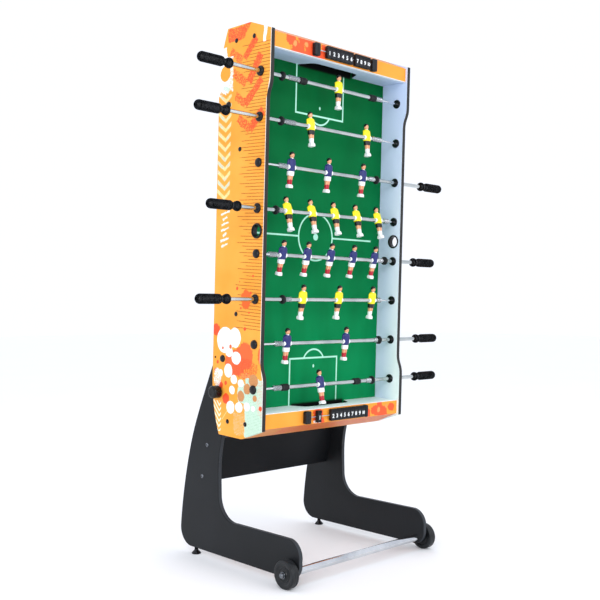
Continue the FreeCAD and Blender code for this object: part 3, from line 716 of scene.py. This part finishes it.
# a near-black painted shadow on the field inside each goal mouth and just in front of it
goal_wide = abs(field_x - GOAL_SHIFT) + (mottle - 0.5) * 6
goal_mouth_painted_shadow = goal_wide.ramp(112, 120, 1, 0) * abs(field_up - LENGTH / 2).ramp(LENGTH / 2 - 91, LENGTH / 2 - 84)
field_art.lay(goal_mouth_painted_shadow, ink(14, 16, 16))
bare_back = field_green.mix(mottle.ramp(0.35, 0.7), ink(146, 108, 74), ink(164, 126, 90))
field_art.lay((field_forward - 127).ramp(-0.5, 0.5, 1, 0), bare_back)
field_green.feed(Base_Color=field_art.colour, Roughness=mottle.ramp(0.3, 0.7, 0.4, 0.52),
                 Normal=field_green.bump(field_green.noise(1400, 2), 0.00004))
softened("playfield_printed", "playfield", 0.4, "green_board", field_green, segments=1)


# ---------------------------------------------------------------- ball cups
# A black moulded cup lines the hole in each wall where the ball is served. Its
# outer ring is rounded and its bore flares a little at both ends.

deep_black = clouded("cup_plastic", (180, 3), ink(8, 9, 11), ink(18, 20, 22), (0.22, 0.36), 0.00004, (1200, 2),
                     Specular_IOR_Level=0.22, Coat_Weight=0.15, Coat_Roughness=0.06)

ROD_DEPTH = 193.4
cup_outline = ([(290, 18), (290, 20.6), (290.4, 21.5), (291.2, 22), (293, 22), (293, 19), (305, 19), (305, 22),
                (307.6, 22)] + arc(307.6, 19.6, 2.4, 2.4, 90, 0, 4)[1:] + [(310, 18.6), (309.4, 17.6), (307, 17),
                                                                         (293, 17), (290, 18)])


def seated(side, forward_at, up_at, across_at=0.0):
    """The place of something turned, on an axis that runs straight across the cabinet."""
    spot = in_cabinet(0, forward_at, up_at) / MM
    return outward(side, across_at, spot.y, spot.z)


cups = [placed(turned("ball_cup", cup_outline, 56), seated(side, ROD_DEPTH, LENGTH / 2)) for side in (-1, 1)]
dressed(joined("ball_cups_moulded", cups), "cabinet", "black_plastic", [deep_black], "ball_cups")


# ---------------------------------------------------------------- cabinet bolts
# Two pivot bolts a side carry the stand and the folding leg, each with a spacer,
# a washer and a nut inside. Small domed caps cover the screws through the walls.

PIVOT_DEPTH, PIVOT_UP = 48.3, 230.0
CAP_PLACES = ((160, 46), (78, 44), (160, LENGTH - 44), (79, LENGTH - 43), (106.5, 366), (106.5, LENGTH - 366))
pivot_outline = ([(258, 0), (258, 5.2), (261.4, 5.6), (261.4, 9.2), (262, 9.8), (264, 10), (264, 6), (280.6, 6),
                  (280.6, 12.6), (281, 13), (292.4, 13), (292.8, 12.6), (292.8, 6), (305, 6), (305, 11),
                  (305.7, 11)] + [(305.7 + 5.8 * math.sin(a), 11 * math.cos(a))
                                  for a in (math.radians(12.86 * i) for i in range(1, 8))])
cap_outline = [(305, 0), (305, 7), (305.5, 7)] + [(305.5 + 2.5 * math.sin(a), 7 * math.cos(a))
                                                for a in (math.radians(15 * i) for i in range(1, 7))]
bolt_heads = []
for side in (-1, 1):
    for up_at in (PIVOT_UP, LENGTH - PIVOT_UP):
        bolt_heads.append(placed(turned("pivot_bolt", pivot_outline, 36), seated(side, PIVOT_DEPTH, up_at)))
    for place in CAP_PLACES:
        bolt_heads.append(placed(turned("screw_cap", cap_outline, 24), seated(side, *place)))
    small_screw = button_head("small_screw", 3.2, 2.5, 1.2, 20)
    bolt_heads.append(placed(small_screw, seated(side, 12.7, 232, side * HALF_WIDTH)))
dressed(joined("cabinet_bolt_heads", bolt_heads), "cabinet", "black_steel", [gloss_black], "cabinet_bolts")


# ---------------------------------------------------------------- lock knobs
# A round knob on a screw presses each wall against the stand's arm. Its rim is
# scalloped for the fingers and its face is dished.

knob_outline = ([(280.5, 0), (280.5, 3.6), (280.9, 4), (305.4, 4), (305.4, 10.6), (305.8, 11), (310, 11),
                 (310, 17.6), (310.4, 18.6), (311.4, 19), (316, 19), (321, 19), (326, 19)]
                + arc(330, 13, 6, 6, 90, 0, 6) + [(336, 10.6), (335, 9.4), (334.6, 0)])
for side, word in ((-1, "left"), (1, "right")):
    knob = turned(word + "_lock_knob_scalloped", knob_outline, 48)
    bpy.ops.object.mode_set(mode="EDIT")
    bpy.ops.mesh.select_all(action="DESELECT")
    bpy.ops.object.mode_set(mode="OBJECT")
    for face in knob.data.polygons:
        spot = face.center / MM
        sector = int(math.atan2(spot.z, spot.y) / math.tau * 48 + 48) % 3
        face.select = 311.4 < spot.x < 326 and math.hypot(spot.y, spot.z) > 18 and sector == 0
    bpy.ops.object.mode_set(mode="EDIT")
    bpy.ops.mesh.inset(thickness=0.0004, depth=-0.0011)
    leave_edit()
    placed(knob, seated(side, 36.3, 129))
    dressed(knob, word + "_lock_knob", "black_plastic", [deep_black], word + "_lock_knob")


# ---------------------------------------------------------------- score counters
# On each end strip a wire runs between two moulded brackets, and ten numbered
# black beads slide on it. Each bead has fine teeth along its upper edge.

bead_black = clouded("bead_plastic", (220, 3), ink(12, 14, 18), ink(24, 27, 32), (0.3, 0.45), 0.00004, (1500, 2),
                     Specular_IOR_Level=0.3)
digit_white = clouded("digit_ink", (900, 3), ink(232, 236, 236), ink(252, 252, 250), (0.45, 0.6), 0.00002,
                      Specular_IOR_Level=0.3)

WIRE_FORWARD, BEAD_FRONT = 235.9, 242.0


def block(name, low, high):
    """A box between two corners in millimetres."""
    bpy.ops.mesh.primitive_cube_add(size=1, location=[(a + b) / 2 * MM for a, b in zip(low, high)],
                                    scale=[(b - a) * MM for a, b in zip(low, high)])
    bpy.ops.object.transform_apply()
    bpy.context.object.name = name
    return bpy.context.object


def bead_blank(long):
    """One bead round the origin: a rounded block with six teeth along the top of its front."""
    half = long / 2 - 0.4
    body = bevelled(block("bead", (-half, -6, -18), (half, 6, 18)), 1.8)
    teeth = [bevelled(block("tooth", (x - half * 0.09, -6.9, 9.4), (x + half * 0.09, 0, 18.2)), 0.3, 1)
             for x in [half * 0.9 * (i / 2.5 - 1) for i in range(6)]]
    step = bevelled(block("bead_band", (-half, -6.5, -16.4), (half, 0, -12.6)), 0.4, 1)
    return joined("bead_blank", [body, *teeth, step])


def digit(number):
    """A number as a thin raised print, standing on the front of a bead at the origin."""
    bpy.ops.object.text_add()
    words = bpy.context.object
    words.data.body = str(number)
    words.data.size = 0.0165 if number < 10 else 0.014
    words.data.extrude = 0.00012
    words.data.offset = 0.0004
    words.data.resolution_u = 3
    words.data.align_x, words.data.align_y = "CENTER", "CENTER"
    if number == 10:
        words.data.space_character = 0.82
    bpy.ops.object.convert(target="MESH")
    words = bpy.context.object
    return placed(words, Matrix.Translation((0, -6.1 * MM, -3.4 * MM)) @ Matrix.Rotation(math.pi / 2, 4, "X"))


# each group's node, its left end, the length of a bead, the number of beads and its height
BEAD_GROUPS = (("upper_beads_left", -86, 18.9, 6, LENGTH - 60), ("upper_beads_right", 37, 17, 4, LENGTH - 60),
               ("lower_bead_left", -88, 17, 1, 60), ("lower_beads_right", -30, 17, 9, 60))
numbered = 0
for node, start, pitch, count, up_at in BEAD_GROUPS:
    blank = bead_blank(pitch)
    shells, digits = [], []
    for index in range(count):
        number = numbered % 10 + 1
        numbered += 1
        along = start + pitch * (index + 0.5)
        seat = CABINET @ Matrix.Translation((along * MM, -(BEAD_FRONT - 6) * MM, up_at * MM))
        shells.append(placed(copied(blank, "bead_copy"), seat))
        digits.append(placed(digit(number), seat))
    bpy.data.objects.remove(blank)
    dressed(joined(node + "_moulded", shells), node, "bead_plastic", [bead_black], node)
    dressed(joined(node + "_digits", digits), node, "bead_plastic", [digit_white])

brackets, wires = [], []
for up_at, right_bracket in ((60, 124), (LENGTH - 60, 115)):
    seat = CABINET @ Matrix.Translation((0, 0, up_at * MM))
    for low, high in ((-137, -115), (right_bracket, 137)):
        brackets.append(placed(bevelled(block("bracket", (low, -243.7, -19), (high, -227.4, 19)), 3.6, 4), seat))
        middle = (low + high) / 2
        ridge = bevelled(block("bracket_ridge", (middle - 1.5, -244.6, -16), (middle + 1.5, -240, 16)), 0.8, 2)
        brackets.append(placed(ridge, seat))
    wire = turned("score_wire", [(-115, 0), (-115, 1.5), (right_bracket, 1.5), (right_bracket, 0)], 16)
    wires.append(placed(wire, seated(1, WIRE_FORWARD, up_at)))
dressed(joined("score_brackets_moulded", brackets), "cabinet", "bead_plastic", [bead_black], "score_brackets")
dressed(joined("score_wires", wires), "cabinet", "chrome", [chrome])


# ---------------------------------------------------------------- folding leg
# The second pair of legs lies folded in the underside, joined by a board. It
# swings out on its own pivots when the table is used flat.

leg_board, _ = foiled("leg_board", 0.2, (1, 1, 0.05), 5,
                      (ink(24, 26, 29), ink(32, 34, 38), ink(44, 47, 52)), (0.42, 0.56))
softened("folding_leg_panels", "leg_panels", 2.0, "black_board", leg_board)
softened("folding_leg_cross_board", "leg_cross_board", 1.2, "black_board", leg_board)


# ---------------------------------------------------------------- rod bearings
# Each tube turns and slides in a black nylon bush clamped through the wall. On the
# far side the bush is closed by a dome, and the thin inner rod turns in it.

bush_black = clouded("bearing_nylon", (300, 3), ink(10, 11, 14), ink(24, 26, 30), (0.22, 0.36), 0.00004, (1500, 2),
                     Specular_IOR_Level=0.2, Coat_Weight=0.15, Coat_Roughness=0.06)
inner_flange = arc(290.5, 12.8, 1.5, 1.5, 180, 90, 3)[1:]
open_bush = ([(289, 6.42), (289, 8.4), (289.7, 8.9), (289, 9.4), (289, 12.8), *inner_flange, (293, 14.3), (293, 9),
              (305, 9), (305, 14.3), (306.2, 14.3), (306.6, 13.9), (307.2, 13.9), (307.6, 14.3)]
             + arc(308.2, 11.5, 2.8, 2.8, 90, 0, 4)
             + [(311, 9.6), (310.2, 9.0), (310.2, 7.4), (310.8, 6.9), (310.8, 6.42), (289, 6.42)])
dome = [(307 + 7 * math.sin(a), 13.3 * math.cos(a)) for a in (math.radians(12.86 * i) for i in range(1, 8))]
closed_bush = [(289, 3.57), (289, 5.4), (288.6, 5.9), (288.6, 7), (289, 7.5), (289, 12.8), *inner_flange,
               (293, 14.3), (293, 9), (305, 9), (305, 13.3), (307, 13.3), *dome, (304, 0), (304, 3.57), (289, 3.57)]
ROD_PITCH = 131.0
rod_ups = [LENGTH / 2 + (3.5 - index) * ROD_PITCH for index in range(8)]
rod_spots = [in_cabinet(0, ROD_DEPTH, up_at) / MM for up_at in rod_ups]
HANDLE_SIDES = (-1, -1, 1, -1, 1, -1, 1, 1)
open_one, closed_one = turned("open_bush", open_bush, 40), turned("closed_bush", closed_bush, 40)
bushes = []
for side, spot in zip(HANDLE_SIDES, rod_spots):
    bushes.append(placed(copied(open_one, "bush"), outward(side, 0, spot.y, spot.z)))
    bushes.append(placed(copied(closed_one, "bush"), outward(-side, 0, spot.y, spot.z)))
bpy.data.objects.remove(open_one)
bpy.data.objects.remove(closed_one)
dressed(joined("rod_bearings_moulded", bushes), "cabinet", "black_plastic", [bush_black], "rod_bearings")


# ---------------------------------------------------------------- rods
# A chromed tube slides along a thin steel core that turns with it in the far wall,
# so it never sticks out there. Springs and rubber bumpers soften its ends.

# from the top: handle's tip, bumper, tube's far end, stop collars, springs
RODS = (
    (-529, -223, 216, ((-154, -128), (157, 183)), ((-201, -154), (183, 214))),
    (-536, -223, 218, (), ((-210, -166), (172, 216))),
    (536, 199, -232, (), ((-231, -195), (159, 187))),
    (-488, -236, 265, (), ((-226, -204), (240, 264))),
    (506, 250, -262, (), ((-261, -227), (214, 238))),
    (-518, -200, 238, (), ((-192, -166), (214, 237))),
    (531, 232, -230, (), ((-229, -198), (206, 224))),
    (530, 203, -231, ((-197, -171), (116, 142)), ((-230, -197), (173, 197))),
)

rubber = clouded("bumper_rubber", (800, 4), ink(18, 19, 20), ink(34, 35, 37), (0.5, 0.7), 0.0001,
                 Specular_IOR_Level=0.3)
rod_chrome = Finish("rod_chrome", Metallic=1.0)
rod_haze = rod_chrome.noise(20, 3)
rod_draw = rod_chrome.noise(1000, 2, (0.02, 1, 1))
rod_chrome.feed(Base_Color=rod_chrome.mix(rod_haze.ramp(0.35, 0.65), ink(176, 182, 182), ink(200, 204, 202)),
                Roughness=rod_haze.ramp(0.3, 0.7, 0.08, 0.16) + rod_draw * 0.06,
                Normal=rod_chrome.bump(rod_draw, 0.00002))
spring_steel = clouded("spring_steel", (500, 2), ink(196, 198, 202), ink(236, 237, 239), (0.08, 0.18), 0.00001,
                       Metallic=1.0)

TURNS_APART = 4.3


def coil(name, start, end):
    """A spring wound round the rod between two places along X."""
    turns = max(4, round((end - start) / TURNS_APART))
    bpy.ops.mesh.primitive_circle_add(vertices=7, radius=0.95 * MM, fill_type="NOTHING",
                                      location=((start + 1.2) * MM, 0, 7.8 * MM), rotation=(math.pi / 2, 0, 0))
    wire = bpy.context.object
    wire.name = name
    bpy.ops.object.transform_apply()
    winding = wire.modifiers.new("winding", "SCREW")
    winding.axis = "X"
    winding.angle = math.tau
    winding.iterations = turns
    winding.steps = winding.render_steps = 18
    winding.screw_offset = (end - start - 2.4) / turns * MM
    bpy.ops.object.modifier_apply(modifier="winding")
    edit(wire)
    bpy.ops.mesh.remove_doubles(threshold=0.000004)
    bpy.ops.mesh.fill_holes(sides=8)
    bpy.ops.mesh.select_all(action="SELECT")
    bpy.ops.mesh.normals_make_consistent(inside=False)
    return leave_edit(50)


def sleeve(name, start, end, radius, bore, soft, grooves=()):
    """A round sleeve on the rod, its corners eased, with shallow grooves at given places."""
    outline = [(start, bore), (start, radius - soft), (start + soft * 0.3, radius - soft * 0.3),
               (start + soft, radius)]
    for at in grooves:
        outline += [(at - 1.1, radius), (at - 0.7, radius - 0.9), (at + 0.7, radius - 0.9), (at + 1.1, radius)]
    outline += [(end - soft, radius), (end - soft * 0.3, radius - soft * 0.3), (end, radius - soft), (end, bore),
                (start, bore)]
    return turned(name, outline, 32)


for number, (side, spot, (tip, bumper, far_end, collars, springs)) in enumerate(
        zip(HANDLE_SIDES, rod_spots, RODS), 1):
    rod, node = "rod_%d" % number, "rod_%d_tube" % number
    seat = outward(1, 0, spot.y, spot.z)
    low, high = sorted((tip - side * 11, far_end))
    tube = turned(rod + "_tube_chromed", [(low, 3.57), (low, 5.8), (low + 0.6, 6.35), (high - 0.6, 6.35),
                                          (high, 5.8), (high, 3.57), (low, 3.57)], 32)
    dressed(placed(tube, seat), rod, "chrome", [rod_chrome], node)
    stops = [sleeve("bumper", bumper - 3.5, bumper + 3.5, 13.5, 6.4, 1.3)]
    stops.append(sleeve("bumper_neck", *sorted((bumper - side * 3.2, bumper - side * 6.6)), 9.2, 6.4, 0.8))
    stops += [sleeve("stop_collar", start, end, 10.5, 6.4, 1.2, (start + 8, (start + end) / 2, end - 8))
              for start, end in collars]
    dressed(placed(joined(rod + "_stops", stops), seat), rod, "black_plastic", [rubber], node)
    coils = [coil("spring", start, end) for start, end in springs]
    dressed(placed(joined(rod + "_springs", coils), seat), rod, "chrome", [spring_steel], node)
    core = frame["nodes"][rod + "_core"]
    core.data.materials.clear()
    core.data.materials.append(spring_steel.material)


# ---------------------------------------------------------------- handles
# Soft black grips are pushed on the tubes' ends: a flared collar keeps the hand
# off the wall, and rows of dimples on the barrel keep it from slipping.

grip_black = clouded("handle_grip", (70, 2), ink(24, 26, 28), ink(42, 44, 48), (0.22, 0.34), 0.00007, (900, 3),
                     Specular_IOR_Level=0.45)
HANDLE_LENGTH = 116.0

GRIP_STEPS, GRIP_ROWS, GRIP_FROM, GRIP_TO = 28, 14, 38.0, 100.0
row_high = (GRIP_TO - GRIP_FROM) / GRIP_ROWS
grip_outline = ([(10, 0), (10, 6.4), (0.4, 6.4), (0, 6.8), (0, 9.2), (0.5, 10.4), (2, 12.4), (4, 14.0), (6.4, 14.9),
                 (9, 15), (12, 14.6), (15, 13.7), (18, 12.3), (20.4, 10.8), (22, 9.8), (25, 9.5), (28, 9.8),
                 (30.4, 11.4), (33, 13.2), (36, 14.3)]
                + [(GRIP_FROM + row_high * i, 14.5) for i in range(GRIP_ROWS + 1)]
                + arc(102, 0, 14, 14.5, 90, 0, 8))
grip = turned("grip", grip_outline, GRIP_STEPS)
for face in grip.data.polygons:
    spot = face.center / MM
    around = int((math.atan2(spot.z, spot.y) / math.tau + 1) * GRIP_STEPS)
    along = int((spot.x - GRIP_FROM) // row_high)
    face.select = 0 <= along < GRIP_ROWS and math.hypot(spot.y, spot.z) > 13 and (around + along) % 2 == 0
bpy.ops.object.mode_set(mode="EDIT")
bpy.ops.mesh.inset(thickness=0.0006, depth=-0.0020, use_individual=True)
leave_edit(28)
for number, (side, spot, (tip, *_)) in enumerate(zip(HANDLE_SIDES, rod_spots, RODS), 1):
    seat = outward(side, tip - side * HANDLE_LENGTH, spot.y, spot.z)
    handle = placed(copied(grip, "rod_%d_handle_grip" % number), seat)
    dressed(handle, "rod_%d" % number, "handle_plastic", [grip_black], "rod_%d_handle" % number)
bpy.data.objects.remove(grip)


# ---------------------------------------------------------------- players
# Each player is one moulded plastic figure, painted in its team's colours and
# pressed on the rod through its hands. Its feet are one solid block for the ball.

def paint(name, base, worn_to):
    """A satin enamel with faint cloudiness and a slight orange peel."""
    return clouded(name, (160, 3), base, worn_to, (0.3, 0.42), 0.00004, (1300, 2), Specular_IOR_Level=0.5)


skin = paint("skin_paint", ink(240, 176, 132), ink(228, 158, 116))
black_paint = paint("black_paint", ink(10, 10, 11), ink(20, 20, 21))
white_paint = paint("white_paint", ink(236, 238, 238), ink(248, 248, 246))
yellow_paint = paint("yellow_paint", ink(250, 236, 22), ink(244, 226, 14))
blue_paint = paint("blue_paint", ink(16, 26, 94), ink(24, 36, 110))
red_paint = paint("red_paint", ink(178, 26, 44), ink(194, 34, 52))


def lofted(name, rings, corners=16):
    """A closed form through level rings of (height, half width, half depth, shift back), lowest first."""
    bpy.ops.mesh.primitive_circle_add(vertices=corners, radius=1, fill_type="NOTHING",
                                      rotation=(0, 0, math.pi / corners))
    form = bpy.context.object
    form.name = name
    bpy.ops.object.mode_set(mode="EDIT")
    bpy.ops.mesh.select_all(action="SELECT")
    height, wide, deep, back = 0.0, 1.0, 1.0, 0.0
    for index, (to_height, to_wide, to_deep, to_back) in enumerate(rings):
        if index:
            bpy.ops.mesh.extrude_region_move(TRANSFORM_OT_translate={"value": (0, 0, 0)})
        bpy.ops.transform.resize(value=(to_wide / wide, to_deep / deep, 1), center_override=(0, back, height))
        bpy.ops.transform.translate(value=(0, to_back - back, to_height - height))
        height, wide, deep, back = to_height, to_wide, to_deep, to_back
    bpy.ops.object.mode_set(mode="OBJECT")
    placed(form, Matrix.Scale(MM, 4) @ form.matrix_world)
    form.matrix_world = Matrix.Identity(4)
    edit(form)
    bpy.ops.mesh.fill_holes(sides=corners)
    bpy.ops.mesh.select_all(action="SELECT")
    bpy.ops.mesh.normals_make_consistent(inside=False)
    return leave_edit(50)


def squarer(form, power=0.55):
    """Pushes the round section of a form out towards a rounded rectangle, level by level."""
    levels = {}
    for vertex in form.data.vertices:
        levels.setdefault(round(vertex.co.z, 6), []).append(vertex)
    for ring in levels.values():
        wide = max(abs(v.co.x) for v in ring)
        near, far = min(v.co.y for v in ring), max(v.co.y for v in ring)
        deep, back = (far - near) / 2, (far + near) / 2
        if wide > 0 and deep > 0:
            for v in ring:
                x, y = v.co.x / wide, (v.co.y - back) / deep
                v.co.x = wide * math.copysign(abs(x) ** power, x)
                v.co.y = back + deep * math.copysign(abs(y) ** power, y)
    form.data.update()
    return form


def ball(name, centre, radii, segments=20, rings=12):
    """An egg with its place and half sizes in millimetres."""
    bpy.ops.mesh.primitive_uv_sphere_add(segments=segments, ring_count=rings, radius=1,
                                         location=[c * MM for c in centre], scale=[r * MM for r in radii])
    bpy.ops.object.transform_apply()
    piece = bpy.context.object
    piece.name = name
    bpy.ops.object.shade_smooth()
    return piece


def cut_away(piece, point, normal):
    """Cuts a form flat at a place in millimetres, keeps the side behind the cut and closes it."""
    edit(piece)
    bpy.ops.mesh.bisect(plane_co=[c * MM for c in point], plane_no=normal, use_fill=True, clear_outer=True)
    bpy.ops.mesh.select_all(action="SELECT")
    bpy.ops.mesh.normals_make_consistent(inside=False)
    return leave_edit(40)


def limb(name, start, end, thick_from, thick_to):
    """A tapered round limb between two points in millimetres, with rounded ends."""
    start, end = Vector(start), Vector(end)
    long = (end - start).length
    rings = [(-thick_from * 0.75, thick_from * 0.5, thick_from * 0.5, 0), (-thick_from * 0.3, thick_from * 0.88,
             thick_from * 0.88, 0), (thick_from * 0.3, thick_from, thick_from, 0),
             (long * 0.5, (thick_from + thick_to) / 2, (thick_from + thick_to) / 2, 0),
             (long - thick_to * 0.3, thick_to, thick_to, 0),
             (long + thick_to * 0.3, thick_to * 0.88, thick_to * 0.88, 0),
             (long + thick_to * 0.75, thick_to * 0.5, thick_to * 0.5, 0)]
    form = lofted(name, rings, 12)
    turn = (end - start).to_track_quat("Z", "Y").to_matrix().to_4x4()
    return placed(form, Matrix.Translation(start * MM) @ turn)


def player(name, jersey, shorts, socks, trim):
    """A figure at the rod: it faces -Y, with its head up and its feet 61 mm below the rod."""
    parts = []

    def add(form, finish):
        form.data.materials.append(finish.material)
        parts.append(form)

    add(squarer(lofted("trunk", [(-11.4, 11.4, 8.3, 0), (-10.4, 12.2, 9.4, 0), (-5, 12.0, 9.9, 0),
                                 (4, 11.9, 9.9, 0), (12, 12.6, 9.0, -0.2), (18, 13.2, 8.2, -0.2), (22.4, 12.6, 7.0, 0),
                                 (25.2, 9.4, 5.4, 0.3), (27, 5.6, 4.4, 0.4)]), 0.66), jersey)
    add(squarer(lofted("shorts", [(-25, 9.8, 7.0, 0), (-24.4, 10.9, 7.9, 0), (-18, 11.4, 8.2, 0),
                                  (-12, 11.2, 8.0, 0), (-9.4, 11, 7.8, 0)]), 0.66), shorts)
    for way in (-1, 1):
        thigh = lofted("thigh", [(-37, 3.2, 5.2, 0), (-33, 3.5, 5.7, -0.3), (-27, 4.0, 6.1, -0.2),
                                 (-20.5, 4.6, 6.4, 0)], 12)
        add(placed(squarer(thigh, 0.8), Matrix.Translation((way * 3.9 * MM, 0, 0))), skin)
        shin = lofted("shin", [(-52, 3.1, 4.8, 0), (-47, 3.2, 5.2, 0.2), (-41, 3.6, 6.0, 0.5),
                               (-36.8, 3.6, 5.8, 0.2), (-36, 3.3, 5.4, 0.1)], 12)
        add(placed(squarer(shin, 0.8), Matrix.Translation((way * 3.5 * MM, 0, 0))), socks)
        add(limb("arm", (way * 12.4, 0.4, 19.6), (way * 14.2, -1.2, 5.5), 3.5, 3.1), jersey)
        add(ball("hand", (way * 14.0, -2.0, 1.6), (2.9, 4.0, 4.4), 12, 8), skin)
        add(ball("ear", (way * 6.6, 0.6, 35.0), (1.1, 1.6, 2.2), 10, 6), skin)
        add(ball("eye", (way * 2.5, -6.9, 36.2), (0.9, 0.7, 0.6), 8, 6), black_paint)
        cuff = turned("rod_cuff", [(9, 6.4), (9, 7.9), (14.4, 7.9), (15, 7.2), (15, 6.4), (9, 6.4)], 28)
        add(placed(cuff, outward(way, 0, 0, 0)), trim)
    foot = bevelled(squarer(lofted("foot_block", [(-61, 8.6, 9.4, 0), (-59.6, 9.0, 10.0, 0), (-55, 9.0, 9.6, 0),
                                                  (-51.6, 8.2, 8.2, 0), (-50.6, 7.4, 7.4, 0)]), 0.45), 0.4, 2, 50)
    add(foot, white_paint)
    add(lofted("neck", [(24.5, 4.3, 4.2, 0.3), (27.5, 3.9, 3.9, 0.2), (31, 4.0, 4.1, 0)], 14), skin)
    add(lofted("collar", [(25.0, 6.8, 5.2, 0.3), (25.6, 7.0, 5.4, 0.3), (27.6, 5.2, 4.7, 0.2),
                          (27.9, 4.7, 4.3, 0.2)], 16), trim)
    add(ball("head", (0, 0, 35.6), (6.8, 7.7, 9.0)), skin)
    add(ball("nose", (0, -7.6, 34.2), (1.1, 1.4, 1.6), 10, 6), skin)
    hair = ball("hair", (0, 0.6, 37.6), (7.9, 8.8, 9.0), 24, 16)
    add(cut_away(hair, (0, -4.6, 38.4), (0, -0.66, -0.75)), black_paint)
    return joined(name, parts)


team_yellow = player("yellow_figure", yellow_paint, black_paint, white_paint, white_paint)
team_blue = player("blue_figure", blue_paint, white_paint, red_paint, white_paint)
for number, (team, men, tilt) in enumerate((
        ("yellow", (14,), 0), ("yellow", (-102, 149), -6), ("blue", (-179, -23, 133), 6),
        ("yellow", (-187, -87, 13, 113, 213), -15), ("blue", (-206, -105, -4, 97, 198), 13.5),
        ("yellow", (-119, 37, 193), 9), ("blue", (-179, 74), 6.5), ("blue", (-33,), -11)), 1):
    spot = rod_spots[number - 1]
    row = []
    for x in men:
        figure = copied(team_yellow if team == "yellow" else team_blue, "figure")
        row.append(placed(figure, Matrix.Translation((x * MM, spot.y * MM, spot.z * MM))
                          @ Matrix.Rotation(math.radians(tilt) + LEAN, 4, "X")))
    line_up = joined("rod_%d_players_painted" % number, row)
    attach(line_up, "rod_%d" % number)
    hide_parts("rod_%d_players" % number)
bpy.data.objects.remove(team_yellow)
bpy.data.objects.remove(team_blue)
